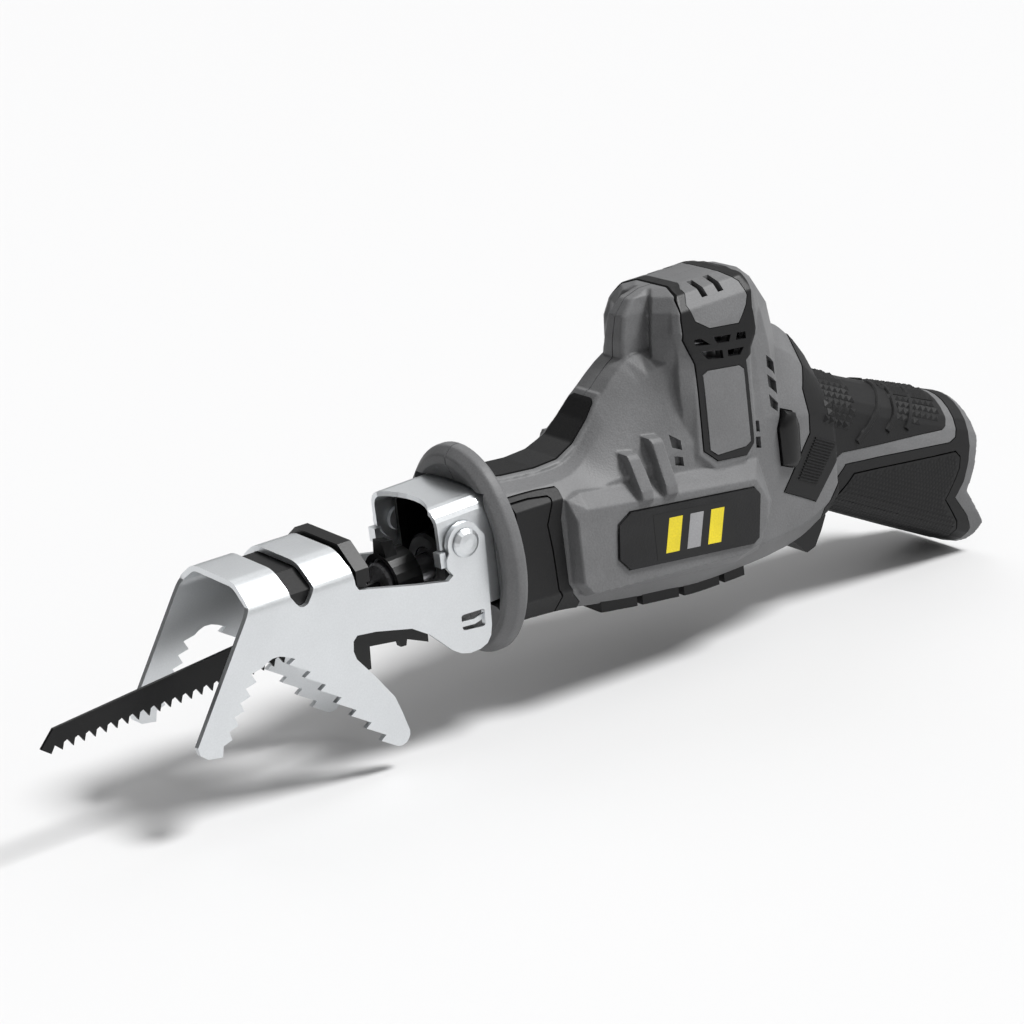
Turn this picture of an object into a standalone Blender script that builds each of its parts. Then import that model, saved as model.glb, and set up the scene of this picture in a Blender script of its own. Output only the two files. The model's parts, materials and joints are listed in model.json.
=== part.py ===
"""Cordless reciprocating saw with a toothed branch jaw, as an assembly of separate pieces.

Everything is modelled in the tool's own frame, in millimetres: +X runs along the blade axis towards the
handle, +Z is up, -Y is the tool's left side, and X = 0 is the front face of the hand guard. At the end the
whole tool is parented to one empty, which leans it so that it rests on the jaw and the heel of the handle.
"""

import math

import bmesh
import bpy
from mathutils import Matrix, Vector

MM = 0.001
GAP = 0.3

# Blade
BLADE_PITCH = 4.0
BLADE_TOOTH_LINE = -14.0
BLADE_FIRST_TOOTH_X = -158.0
BLADE_HALF_THICKNESS = 0.6
STROKE = 15.0

# Jaw and shoe bracket
JAW_HALF_WIDTH = 22.0
JAW_SHEET = 2.0
JAW_TOP_Z = 25.1
JAW_SHOULDER_Z = 18.5
JAW_TOP_HALF_WIDTH = 12.6
JAW_PIVOT = (-10.8, 13.4)
JAW_HOLE_R = 3.3
JAW_LEAN = math.radians(2.0)
BRACKET_HALF_WIDTH = 19.3
BRACKET_TOP_Z = 26.2
BRACKET_SHEET = 1.8
BRACKET_BEND_R = 6.0

# Drive
SHAFT_R = 4.6
CRANK_X = 86.0
CRANK_R = STROKE / 2
CRANK_PIN_R = 2.5
GEAR_TEETH = 38
PINION_TEETH = 8
MOTOR_X = 108.0
GEAR_MODULE = 2 * (MOTOR_X - CRANK_X) / (GEAR_TEETH + PINION_TEETH)
MOTOR_R = 17.5
MOTOR_Z = (20.2, 60.0)

# Housing
WALL = 2.6
GUARD_CENTRE_Z = 1.0
GUARD_HALF = (30.5, 38.0)
GUARD_THICKNESS = 7.5
GUARD_DISH = 4.6
HANDLE_SLOPE = math.radians(27.1)
HANDLE_START = (150.0, 1.2)
HANDLE_END_X = 231.0
HANDLE_REACH = 100.0
HEEL = (229.5, -61.6)
JAW_HEEL = (-46.3, -44.3, 3.9)

SIDE_SLOPE = -0.152
SIDE_SLOPE_X = 33.0
BULGE_FACE_Y = 29.0

# Controls
TRIGGER_PIVOT = (143.5, -26.0)
LOCK_CENTRE = (133.2, 7.0)
SCREW_SPOTS = ((31.0, 17.4), (44.0, -21.0), (71.0, 28.0), (112.0, -28.0), (140.5, 24.0), (166.0, 7.0))


def clear_scene():
    for obj in list(bpy.data.objects):
        bpy.data.objects.remove(obj, do_unlink=True)


def material(name, color, roughness, metallic=0.0):
    found = bpy.data.materials.get(name)
    if found:
        return found
    made = bpy.data.materials.new(name)
    made.use_nodes = True
    made.diffuse_color = (*color, 1.0)
    shader = made.node_tree.nodes["Principled BSDF"]
    shader.inputs["Base Color"].default_value = (*color, 1.0)
    shader.inputs["Roughness"].default_value = roughness
    shader.inputs["Metallic"].default_value = metallic
    return made


FINISHES = {
    "shell": ((0.13, 0.13, 0.135), 0.55, 0.0),
    "black_plastic": ((0.02, 0.02, 0.022), 0.4, 0.0),
    "rubber": ((0.025, 0.025, 0.027), 0.75, 0.0),
    "zinc": ((0.72, 0.75, 0.78), 0.3, 1.0),
    "blade_steel": ((0.03, 0.03, 0.032), 0.45, 0.4),
    "steel": ((0.55, 0.55, 0.57), 0.3, 1.0),
    "bronze": ((0.5, 0.33, 0.16), 0.4, 1.0),
}


def add(name, bm, finish, origin=(0.0, 0.0, 0.0), smooth=math.radians(35)):
    """Turn a bmesh in millimetres into an object in metres, with its origin at a point of the tool frame."""
    bmesh.ops.recalc_face_normals(bm, faces=bm.faces)
    bmesh.ops.translate(bm, verts=bm.verts, vec=-Vector(origin))
    bmesh.ops.scale(bm, verts=bm.verts, vec=(MM, MM, MM))
    if bm.calc_volume(signed=True) < 0:
        bmesh.ops.reverse_faces(bm, faces=bm.faces)
    mesh = bpy.data.meshes.new(name)
    bm.to_mesh(mesh)
    bm.free()
    mesh.shade_smooth()
    mesh.set_sharp_from_angle(angle=smooth)
    obj = bpy.data.objects.new(name, mesh)
    obj.location = Vector(origin) * MM
    obj.data.materials.append(material(finish, *FINISHES[finish]))
    bpy.context.scene.collection.objects.link(obj)
    return obj


def helper(bm, name="helper"):
    obj = add(name, bm, "steel")
    obj.hide_render = True
    obj.display_type = "WIRE"
    return obj


def combine(target, others, operation, solver="EXACT"):
    for other in others:
        modifier = target.modifiers.new(operation.title(), "BOOLEAN")
        modifier.operation = operation
        modifier.solver = solver
        modifier.object = other
    return target


def cut(target, *others):
    return combine(target, others, "DIFFERENCE")


def join(target, *others):
    return combine(target, others, "UNION")


def loft(rings):
    """Closed body through rings of equal length, capped at both ends, all in flat triangles."""
    bm = bmesh.new()
    rows = [[bm.verts.new(point) for point in ring] for ring in rings]
    for low, high in zip(rows, rows[1:]):
        for i in range(len(low)):
            j = (i + 1) % len(low)
            bm.faces.new((low[i], low[j], high[j], high[i]))
    bm.faces.new(rows[0])
    bm.faces.new(rows[-1])
    bm.normal_update()
    bmesh.ops.triangulate(bm, faces=bm.faces)
    return bm


def prism(outline, y0, y1):
    """Side outline of (x, z) points, extruded across the tool."""
    return loft([[(x, y, z) for x, z in outline] for y in (y0, y1)])


def prism_x(outline, x0, x1):
    """Front outline of (y, z) points, extruded along the tool."""
    return loft([[(x, y, z) for y, z in outline] for x in (x0, x1)])


def prism_z(outline, z0, z1):
    """Plan outline of (x, y) points, extruded upwards."""
    return loft([[(x, y, z) for x, y in outline] for z in (z0, z1)])


def block(low, high):
    (x0, y0, z0), (x1, y1, z1) = low, high
    return prism([(x0, z0), (x1, z0), (x1, z1), (x0, z1)], y0, y1)


def arc(centre, radius, start, end, steps):
    """Points of an arc, in degrees, both ends included."""
    angles = [math.radians(start + (end - start) * i / steps) for i in range(steps + 1)]
    return [(centre[0] + radius * math.cos(a), centre[1] + radius * math.sin(a)) for a in angles]


def circle(centre, radius, sides):
    return arc(centre, radius, 0, 360 * (sides - 1) / sides, sides - 1)


def turned(profile, centre, axis, sides=24):
    """Body of revolution: a closed profile of (along, radius) points turned about an axis through centre."""
    bm = bmesh.new()
    rows = []
    for step in range(sides):
        angle = 2 * math.pi * step / sides
        rows.append([place_on_axis(a, r, angle, centre, axis) for a, r in profile])
    on_axis = {i for i, (_, r) in enumerate(profile) if r == 0}
    verts = [[None] * len(profile) for _ in range(sides)]
    for i in range(len(profile)):
        for step in range(sides):
            verts[step][i] = verts[0][i] if i in on_axis and step else bm.verts.new(rows[step][i])
    for step in range(sides):
        here, there = verts[step], verts[(step + 1) % sides]
        for i in range(len(profile)):
            j = (i + 1) % len(profile)
            corners = list(dict.fromkeys((here[i], here[j], there[j], there[i])))
            if len(corners) > 2:
                bm.faces.new(corners)
    return bm


def place_on_axis(along, radius, angle, centre, axis):
    u, v = radius * math.cos(angle), radius * math.sin(angle)
    offset = {"x": (along, u, v), "y": (u, along, v), "z": (u, v, along)}[axis]
    return tuple(c + o for c, o in zip(centre, offset))


def rod(low, high, radius, centre, axis, sides=16):
    return turned([(low, 0), (low, radius), (high, radius), (high, 0)], centre, axis, sides)


def ring(low, high, inner, outer, centre, axis, sides=24):
    return turned([(low, inner), (low, outer), (high, outer), (high, inner)], centre, axis, sides)


def rounded(points, passes=1):
    """Chaikin corner cutting of a closed outline."""
    for _ in range(passes):
        cut_points = []
        for i, here in enumerate(points):
            there = points[(i + 1) % len(points)]
            for t in (0.25, 0.75):
                cut_points.append(tuple(a + (b - a) * t for a, b in zip(here, there)))
        points = cut_points
    return points


def mirrored(half):
    """Closed outline from its -Y half, listed top to bottom; the first number of each pair is y."""
    return [(-y, z) for y, z in half] + [(y, z) for y, z in reversed(half)]


# --- blade and clamp ---------------------------------------------------------------------------------------


def blade_outline():
    teeth = 31
    outline = []
    for i in range(teeth):
        tip = BLADE_FIRST_TOOTH_X + BLADE_PITCH * i
        outline += [(tip, BLADE_TOOTH_LINE), (tip + 0.9, BLADE_TOOTH_LINE + 2.4)]
        outline += [(tip + 2.2, BLADE_TOOTH_LINE + 2.9), (tip + 3.2, BLADE_TOOTH_LINE + 1.4)]
    outline += [(-33.6, -14.0), (-32.6, -7.0), (-22.4, -7.0), (-22.4, 0.4), (-32.6, 0.4), (-33.6, 1.6)]
    outline += [(-90.0, -1.8), (-160.0, -6.0), (-165.3, -11.4), (-162.1, -14.0), (-160.4, -11.6)]
    return outline


def build_blade():
    half = BLADE_HALF_THICKNESS
    return add("blade", prism(blade_outline(), -half, half), "blade_steel")


def build_plunger():
    head = [(-33.0, 0), (-33.0, 6.8), (-32.2, 7.6), (-21.6, 7.6)]
    profile = head + [(-21.6, SHAFT_R), (76.5, SHAFT_R), (76.5, 0)]
    plunger = add("plunger", turned(profile, (0, 0, 0), "x"), "steel")
    slot = helper(block((-34.0, -1.0, -9.0), (-22.0, 1.0, 0.8)), "plunger_slot")
    return cut(plunger, slot)


def build_clamp():
    collar = add("clamp_collar", ring(-31.5, -21.6, 8.9, 10.6, (0, 0, 0), "x"), "black_plastic")
    lever = helper(
        loft(
            [
                [(-31.0, y, z) for y, z in ((-4.0, 9.2), (4.0, 9.2), (3.0, 15.4), (-2.0, 15.4))],
                [(-26.5, y, z) for y, z in ((-4.0, 9.2), (4.0, 9.2), (3.0, 14.4), (-2.0, 14.4))],
            ]
        ),
        "collar_lever",
    )
    join(collar, lever)
    add("clamp_spring", ring(-29.5, -24.0, 7.9, 8.6, (0, 0, 0), "x"), "steel")


# --- jaw, bracket and rivets -------------------------------------------------------------------------------


def jaw_front_teeth():
    points = []
    for i in range(6):
        points += [(-112.8 + 2.8 * i, -23.3 + 4.03 * i), (-109.3 + 3.0 * i, -22.4 + 4.0 * i)]
    return points


def jaw_rear_teeth():
    points = []
    for i in range(7):
        points += [(-82.0 + 5.03 * i, -3.7 - 6.42 * i), (-84.5 + 5.07 * i, -4.9 - 6.45 * i)]
    return points


def jaw_outline():
    heel_x, heel_z, heel_r = JAW_HEEL
    outline = [(-94.4, 30.0), (-95.7, 18.3), (-122.0, -20.8), (-121.5, -23.6)]
    outline += [(-119.0, -25.8), (-113.6, -26.9)]
    outline += jaw_front_teeth()
    outline += [(-92.5, -1.4), (-90.2, -0.7), (-87.6, -0.9), (-85.2, -1.9)]
    outline += jaw_rear_teeth()
    outline += arc((heel_x, heel_z), heel_r, 235, 365, 6)
    outline += [(-44.5, -36.1), (-46.5, -30.1), (-52.9, -20.4), (-59.0, -12.1), (-59.8, -9.1), (-59.3, -5.6)]
    outline += [(-57.6, -4.1), (-50.1, -5.3), (-36.2, -9.1), (-29.3, -13.8), (-21.1, -22.4), (-17.9, -24.6)]
    outline += [(-14.4, -25.7), (-10.0, -25.7), (-6.9, -24.6), (-5.1, -22.3), (-4.2, -18.5), (-3.1, 1.3)]
    outline += [(-2.7, 13.7)] + arc(JAW_PIVOT, 7.2, 55, 195, 7)
    outline += [(-18.9, 9.6), (-19.2, 6.6), (-17.2, 3.6), (-19.4, 2.2), (-31.2, 4.9), (-54.4, 11.0)]
    outline += [(-55.5, 13.0), (-56.0, 30.0)]
    return outline


def sheet_channel(outer, top, shoulder_z, half_top, sheet, low, x0, x1):
    """Inverted channel of bent sheet with chamfered shoulders, running along the tool."""
    inner = outer - sheet
    lean = sheet * math.tan(math.atan2(top - shoulder_z, outer - half_top) / 2)
    left = [(half_top, top), (outer, shoulder_z), (outer, low), (inner, low)]
    left += [(inner, shoulder_z - lean), (half_top - lean, top - sheet)]
    return prism_x([(-y, z) for y, z in left] + [(y, z) for y, z in reversed(left)], x0, x1)


def leaned(bm):
    """Lean the jaw's channel a little about its front top edge."""
    pivot = Vector((-94.3, 0, JAW_TOP_Z))
    bmesh.ops.rotate(bm, verts=bm.verts, cent=pivot, matrix=Matrix.Rotation(JAW_LEAN, 3, "Y"))
    return bm


def jaw_slot_outline():
    return [(-80.0, 40.0), (-80.0, 17.0), (-78.6, 14.4)] + arc((-75.8, 15.2), 2.8, 200, 340, 4) + [
        (-71.0, 17.0),
        (-71.0, 40.0),
    ]


def jaw_shoulder():
    """Set-back of the inner bend lines that keeps the sheet one thickness all round."""
    bend = math.atan2(JAW_TOP_Z - JAW_SHOULDER_Z, JAW_HALF_WIDTH - JAW_TOP_HALF_WIDTH)
    return JAW_SHEET * math.tan(bend / 2), JAW_SHEET * math.tan((math.pi / 2 - bend) / 2)


def build_jaw():
    """One folded sheet: the side outline at full width, less the space inside and the corners outside."""
    pivot = (JAW_PIVOT[0], 0, JAW_PIVOT[1])
    jaw = add("jaw", prism(jaw_outline(), -JAW_HALF_WIDTH, JAW_HALF_WIDTH), "zinc", pivot)
    at_top, at_side = jaw_shoulder()
    inner = JAW_HALF_WIDTH - JAW_SHEET
    half = [(JAW_TOP_HALF_WIDTH - at_top, JAW_TOP_Z - JAW_SHEET)]
    half += [(inner, JAW_SHOULDER_Z - at_side), (inner, -80.0)]
    cutters = [leaned(prism_x(mirrored(half), -130.0, -50.0))]
    cutters.append(block((-55.3, -inner - 0.02, -80.0), (10.0, inner + 0.02, 60.0)))
    for side in (-1, 1):
        corner = [(JAW_TOP_HALF_WIDTH, JAW_TOP_Z), (JAW_HALF_WIDTH, JAW_SHOULDER_Z), (40.0, JAW_SHOULDER_Z)]
        corner += [(40.0, 60.0), (JAW_TOP_HALF_WIDTH, 60.0)]
        cutters.append(leaned(prism_x([(side * y, z) for y, z in corner], -130.0, -50.0)))
    crown = [(-40.0, JAW_TOP_Z), (40.0, JAW_TOP_Z), (40.0, 60.0), (-40.0, 60.0)]
    cutters.append(leaned(prism_x(crown, -130.0, -50.0)))
    cutters.append(prism(jaw_slot_outline(), -30, 30))
    cutters.append(prism([(-16.2, -11.3), (-6.4, -12.0), (-6.8, -18.2), (-16.2, -16.9)], -30, 30))
    cutters.append(rod(-30, 30, JAW_HOLE_R, pivot, "y", 20))
    cut(jaw, *[helper(bm, "jaw_cutter") for bm in cutters])
    for side in (-1, 1):
        y0, y1 = sorted((side * 17.2, side * 21.0))
        join(jaw, helper(block((-20.9, y0, 6.9), (-18.6, y1, 12.1)), "jaw_tab"))
    return jaw


def liner_side_outline():
    outline = [(-79.2, 40.0), (-79.2, 10.0), (-70.0, 6.0), (-60.5, -1.0), (-58.0, -12.5), (-54.6, -18.5)]
    outline += [(-52.6, -18.5), (-52.0, -10.6), (-40.5, -12.6)]
    outline += [(-40.0, -15.0), (-37.8, -15.2), (-37.2, -13.2)]
    outline += [(-29.0, -17.0), (-28.0, 2.6), (-50.0, 8.6), (-50.0, 40.0)]
    return outline


def build_jaw_liner():
    liner = add("jaw_liner", prism(liner_side_outline(), -30, 30), "black_plastic")
    gap = GAP + JAW_SHEET
    channel = sheet_channel(
        JAW_HALF_WIDTH - gap, JAW_TOP_Z - gap, JAW_SHOULDER_Z - 1.0, JAW_TOP_HALF_WIDTH - 1.2,
        2.4, -70, -130, 6
    )
    combine(liner, [helper(leaned(channel), "liner_channel")], "INTERSECT")
    lip = sheet_channel(
        JAW_HALF_WIDTH, JAW_TOP_Z + 1.2, JAW_SHOULDER_Z + 0.6, JAW_TOP_HALF_WIDTH + 0.2,
        4.4, 14.2, -54.6, -49.4
    )
    return join(liner, helper(leaned(lip), "liner_lip"))


def bracket_section(half, top, radius, low):
    """Half outline of a bent channel's surface, from the top down."""
    bend = arc((half - radius, top - radius), radius, 90, 0, 5)
    return [(y, z) for y, z in bend] + [(half, low)]


def build_bracket():
    outer = bracket_section(BRACKET_HALF_WIDTH, BRACKET_TOP_Z, BRACKET_BEND_R, -12.0)
    inner = bracket_section(
        BRACKET_HALF_WIDTH - BRACKET_SHEET, BRACKET_TOP_Z - BRACKET_SHEET,
        BRACKET_BEND_R - BRACKET_SHEET, -12.0
    )
    half = outer + list(reversed(inner))
    section = [(-y, z) for y, z in half] + [(y, z) for y, z in reversed(half)]
    bracket = add("shoe_bracket", prism_x(section, -19.4, 19.0), "zinc")
    side = [(-40.0, 12.5)] + arc(JAW_PIVOT, 7.4, 187, 250, 5) + [(-8.0, 4.0), (-8.0, -40.0)]
    side += [(-40.0, -40.0)]
    nose = loft([[(x, y, z) for x, y in circle((-39.0, 0.0), 24.6, 40)] for z in (5.0, 40.0)])
    bite = prism([(6.6, 17.0), (40.0, 17.0), (40.0, 40.0), (6.6, 40.0)], -30, 30)
    holes = rod(-30, 30, JAW_HOLE_R, (JAW_PIVOT[0], 0, JAW_PIVOT[1]), "y", 20)
    return cut(bracket, *[helper(bm, "bracket_cutter") for bm in (prism(side, -30, 30), nose, bite, holes)])


def build_rivets():
    for name, side in (("rivet_left", -1), ("rivet_right", 1)):
        profile = [(15.9, 0), (15.9, 4.2), (17.2, 4.5), (17.2, 3.0), (22.3, 3.0), (22.3, 5.15)]
        profile += [(22.9, 5.0), (23.9, 3.6), (24.4, 1.6), (24.5, 0)]
        turned_profile = [(side * a, r) for a, r in profile]
        add(name, turned(turned_profile, (JAW_PIVOT[0], 0, JAW_PIVOT[1]), "y", 20), "zinc")


def build_shoe_lining():
    outer = bracket_section(15.6, 24.0, 3.0, -9.0)
    inner = bracket_section(14.0, 22.4, 2.0, -9.0)
    half = outer + list(reversed(inner))
    section = [(-y, z) for y, z in half] + [(y, z) for y, z in reversed(half)]
    lining = add("shoe_lining", prism_x(section, -12.6, 5.6), "black_plastic")
    nose = loft([[(x, y, z) for x, y in circle((-31.0, 0.0), 22.0, 32)] for z in (5.0, 40.0)])
    return cut(lining, helper(nose, "lining_cutter"))


# --- drive -------------------------------------------------------------------------------------------------


def build_gear_case():
    profile = [(-12.8, 7.0), (-12.8, 10.6), (-11.6, 11.6), (-4.0, 11.6)]
    profile += [(-4.0, 13.2), (24.0, 13.2), (24.0, 7.0)]
    case = add("gear_case_nose", turned(profile, (0, 0, 0), "x", 28), "black_plastic")
    plate = prism_x(rounded([(-17.5, -16.0), (17.5, -16.0), (17.5, 16.0), (-17.5, 16.0)]), 21.0, 26.0)
    join(case, helper(plate, "case_plate"))
    return cut(case, helper(rod(-20, 40, 7.0, (0, 0, 0), "x", 28), "case_bore"))


def build_bushes():
    inner = SHAFT_R + GAP
    add("front_bush", ring(-10.0, 0.0, inner, 6.7, (0, 0, 0), "x", 28), "bronze")
    add("rear_bush", ring(15.0, 25.5, inner, 6.7, (0, 0, 0), "x", 28), "bronze")
    add("wiper_seal", ring(-12.6, -10.4, inner, 6.7, (0, 0, 0), "x", 28), "rubber")


def build_yoke():
    yoke = add("yoke", block((CRANK_X - 8.0, -14.0, -4.6), (CRANK_X + 8.0, 14.0, 4.6)), "steel")
    hub = helper(rod(62.0, CRANK_X - 6.0, 7.4, (0, 0, 0), "x", 20), "yoke_hub")
    join(yoke, hub)
    half_x = CRANK_PIN_R + 2.1
    slot = block((CRANK_X - half_x, -11.2, -10.0), (CRANK_X + half_x, 11.2, 10.0))
    socket = rod(50.0, 76.8, SHAFT_R + GAP, (0, 0, 0), "x", 20)
    return cut(yoke, helper(slot, "yoke_slot"), helper(socket, "yoke_socket"))


def gear_outline(teeth, module, centre):
    """Straight-sided gear teeth, drawn a little shallow so that a pair runs clear."""
    pitch_r = module * teeth / 2
    root, tip = pitch_r - 1.05 * module, pitch_r + 0.75 * module
    points = []
    for i in range(teeth):
        middle = 2 * math.pi * i / teeth
        pitch = 2 * math.pi / teeth
        for offset, radius in ((-0.30, root), (-0.12, tip), (0.12, tip), (0.30, root)):
            angle = middle + offset * pitch
            points.append((centre[0] + radius * math.cos(angle), centre[1] + radius * math.sin(angle)))
    return points


def build_gears():
    gear = add("crank_gear", prism_z(gear_outline(GEAR_TEETH, GEAR_MODULE, (CRANK_X, 0)), 7.4, 12.8), "steel",
               (CRANK_X, 0, 0))
    bore = rod(0, 20, 3.8, (CRANK_X, 0, 0), "z")
    hole = rod(0, 20, CRANK_PIN_R + GAP, (CRANK_X, CRANK_R, 0), "z", 12)
    cut(gear, helper(bore, "gear_bore"), helper(hole, "pin_bore"))
    add("crank_pin", rod(-3.8, 12.0, CRANK_PIN_R, (CRANK_X, CRANK_R, 0), "z", 12), "steel", (CRANK_X, 0, 0))
    add("gear_axle", rod(7.8, 19.6, 3.5, (CRANK_X, 0, 0), "z"), "steel", (CRANK_X, 0, 0))
    add("gear_bearing", ring(13.6, 19.2, 3.8, 7.2, (CRANK_X, 0, 0), "z"), "steel", (CRANK_X, 0, 0))
    outline = gear_outline(PINION_TEETH, GEAR_MODULE, (0, 0))
    half_pitch = math.pi / PINION_TEETH
    turn = math.pi + half_pitch
    turned_outline = [
        (MOTOR_X + x * math.cos(turn) - y * math.sin(turn), x * math.sin(turn) + y * math.cos(turn))
        for x, y in outline
    ]
    pinion = add("motor_pinion", prism_z(turned_outline, 7.4, 13.2), "steel", (MOTOR_X, 0, 0))
    cut(pinion, helper(rod(0, 20, 1.8, (MOTOR_X, 0, 0), "z", 12), "pinion_bore"))


def build_motor_plate():
    outline = rounded([(66.0, -17.0), (126.0, -17.0), (130.0, 0.0), (126.0, 17.0), (66.0, 17.0), (64.0, 0.0)])
    plate = add("motor_plate", prism_z(outline, 14.0, 18.8), "black_plastic")
    holes = [rod(0, 40, 7.5, (CRANK_X, 0, 0), "z", 24), rod(0, 40, 7.0, (MOTOR_X, 0, 0), "z", 24)]
    return cut(plate, *[helper(bm, "plate_hole") for bm in holes])


def build_motor():
    low, high = MOTOR_Z
    centre = (MOTOR_X, 0, 0)
    profile = [(low, 2.1), (low, MOTOR_R - 1.0), (low + 1.0, MOTOR_R), (high, MOTOR_R), (high, MOTOR_R - 1.4)]
    profile += [(low + 1.4, MOTOR_R - 1.4), (low + 1.4, 2.1)]
    add("motor_can", turned(profile, centre, "z", 28), "steel")
    rotor = [(low + 4.0, 1.9), (low + 4.0, 14.6), (high - 8.0, 14.6), (high - 8.0, 1.9)]
    add("motor_rotor", turned(rotor, centre, "z", 24), "steel", centre)
    cap = [(high - 3.0, 2.1), (high - 3.0, MOTOR_R - 1.7), (high + 1.0, MOTOR_R - 1.7), (high + 1.6, 5.0)]
    cap += [(high + 1.6, 2.1)]
    add("motor_end_cap", turned(cap, centre, "z", 28), "black_plastic")
    add("motor_shaft", rod(6.9, 67.6, 1.55, centre, "z", 12), "steel", centre)
    build_fan()


def build_fan():
    centre = (MOTOR_X, 0, 0)
    hub = [(62.0, 1.85), (62.0, 13.6), (63.0, 13.6), (63.0, 4.0), (66.4, 4.0), (66.4, 1.85)]
    fan = add("motor_fan", turned(hub, centre, "z", 24), "black_plastic", centre)
    blades = []
    for i in range(6):
        angle = math.radians(60 * i + 10)
        radial = Vector((math.cos(angle), math.sin(angle)))
        across = Vector((-math.sin(angle), math.cos(angle)))
        corners = [(3.5, -0.6), (12.2, -0.6), (12.2, 0.6), (3.5, 0.6)]
        outline = [tuple(Vector((MOTOR_X, 0)) + radial * r + across * w) for r, w in corners]
        blades.append(helper(prism_z(outline, 62.5, 65.8), "fan_blade"))
    return join(fan, *blades)


# --- housing -----------------------------------------------------------------------------------------------


def body_half(x, top, bottom, crest, width, shoulder):
    """Half section of neck and body at x: crest is the half width of the flat top, shoulder its height."""
    side = [(width - 1.5, shoulder), (width, shoulder - 5), (width, bottom + 9)]
    return [(crest, top)] + side + [(width - 7, bottom)]


BODY_STATIONS = (
    (4.9, 27.2, -23.6, 9.5, 24.0, 21.0),
    (16.0, 24.8, -24.8, 9.5, 23.2, 20.2),
    (30.0, 23.2, -26.6, 9.5, 23.0, 19.4),
    (40.0, 23.4, -28.6, 9.5, 23.4, 18.8),
    (48.0, 26.6, -30.2, 9.5, 23.8, 18.6),
    (55.0, 32.6, -31.4, 9.0, 24.0, 19.0),
    (61.5, 40.6, -32.6, 7.5, 24.0, 19.5),
    (76.0, 50.0, -34.8, 7.5, 24.0, 21.0),
    (90.0, 50.5, -36.8, 8.0, 24.0, 22.0),
    (112.0, 50.0, -37.6, 8.0, 24.0, 24.0),
    (130.0, 49.0, -37.4, 8.0, 23.4, 20.0),
    (142.0, 45.6, -36.0, 8.0, 22.6, 17.0),
    (150.0, 38.6, -33.4, 8.0, 22.0, 15.0),
    (157.0, 28.6, -31.0, 8.0, 21.4, 12.0),
)


def body_shape(inset):
    rings = []
    for index, (x, top, bottom, crest, width, shoulder) in enumerate(BODY_STATIONS):
        ends = {0: -0.2 if inset else 0.0, len(BODY_STATIONS) - 1: -inset}
        half = body_half(x, top - inset, bottom + inset, crest - 0.5 * inset, width - inset,
                         shoulder - 0.6 * inset)
        outline = rounded(mirrored(half))
        rings.append([(x + ends.get(index, 0.0), y, z) for y, z in outline])
    return loft(rings)


TOWER_STATIONS = (
    (6.0, 80.0, 140.0, 24.9),
    (16.0, 73.0, 143.0, 24.7),
    (44.0, 75.2, 141.6, 22.8),
    (56.0, 77.4, 140.2, 21.4),
    (64.5, 79.8, 136.0, 19.2),
    (69.6, 84.0, 130.5, 15.0),
    (72.2, 90.0, 123.0, 9.0),
)


def tower_shape(inset):
    rings = []
    for index, (z, front, rear, width) in enumerate(TOWER_STATIONS):
        front, rear, width = front + inset, rear - inset, width - inset
        drop = {len(TOWER_STATIONS) - 1: -inset, len(TOWER_STATIONS) - 2: -0.7 * inset}.get(index, 0.0)
        half = [(front, -6.0), (front + 8.0, -0.72 * width), (front + 15.0, -width), (rear - 18.0, -width)]
        half += [(rear - 6.0, -0.72 * width), (rear, -7.0)]
        outline = rounded(half + [(x, -y) for x, y in reversed(half)])
        rings.append([(x, y, z + drop) for x, y in outline])
    return loft(rings)


def handle_shape(inset, end):
    """Grip: rounded sections square to its own sloping axis."""
    along = Vector((math.cos(HANDLE_SLOPE), 0, -math.sin(HANDLE_SLOPE)))
    up = Vector((math.sin(HANDLE_SLOPE), 0, math.cos(HANDLE_SLOPE)))
    rings = []
    for s, height, width in ((-8.0, 24.6, 20.4), (30.0, 25.8, 20.8), (62.0, 26.8, 21.0), (end, 28.4, 21.0)):
        height, width = height - inset, width - inset
        centre = Vector((HANDLE_START[0], 0, HANDLE_START[1])) + along * s
        half = [(0.4 * width, 0.9 * height), (width, 0.46 * height)]
        half += [(width, -0.5 * height), (0.62 * width, -height)]
        outline = rounded(mirrored(half), 2)
        rings.append([tuple(centre + Vector((0, y, 0)) + up * h) for y, h in outline])
    return loft(rings)


def sloped(x, z):
    """Height on the body's side, whose lines drop gently towards the rear."""
    return z + SIDE_SLOPE * (x - SIDE_SLOPE_X)


def bulge_shape(side):
    """Raised panel on the side of the body, sloping down towards the rear."""
    face = [(36.5, 11.5), (36.0, -15.0), (104.0, -15.6), (113.0, -11.0), (117.0, 1.0), (112.0, 11.5)]
    foot = [(31.0, 17.9), (30.5, -17.8), (102.0, -18.0), (114.5, -12.6), (122.0, -1.0), (117.0, 17.9)]
    rings = []
    for outline, y in ((foot, 18.0), (foot, 24.4), (face, BULGE_FACE_Y)):
        rings.append([(x, side * y, sloped(x, z)) for x, z in outline])
    return loft(rings)


def guard_ring(x, scale):
    half_y, half_z = GUARD_HALF
    steps = 40
    points = []
    for i in range(steps):
        angle = 2 * math.pi * i / steps
        y, z = half_y * math.cos(angle), half_z * math.sin(angle)
        points.append((x, scale * y, GUARD_CENTRE_Z + scale * z))
    return points


def guard_shape():
    stations = ((0.0, 0.93), (2.0, 0.985), (5.0, 1.0), (GUARD_THICKNESS, 0.965))
    return loft([guard_ring(x, scale) for x, scale in stations])


def heel_shape():
    """Flared heel at the lower end of the handle, with a flat foot."""
    x, z = HEEL
    return prism([(x - 24.0, z + 12.0), (x - 16.0, z + 5.2), (x - 5.0, z + 0.3),
                  (x + 3.5, z), (x + 6.0, z + 4.0),
                  (x + 1.6, z + 14.0)], -12.0, 12.0)


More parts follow.
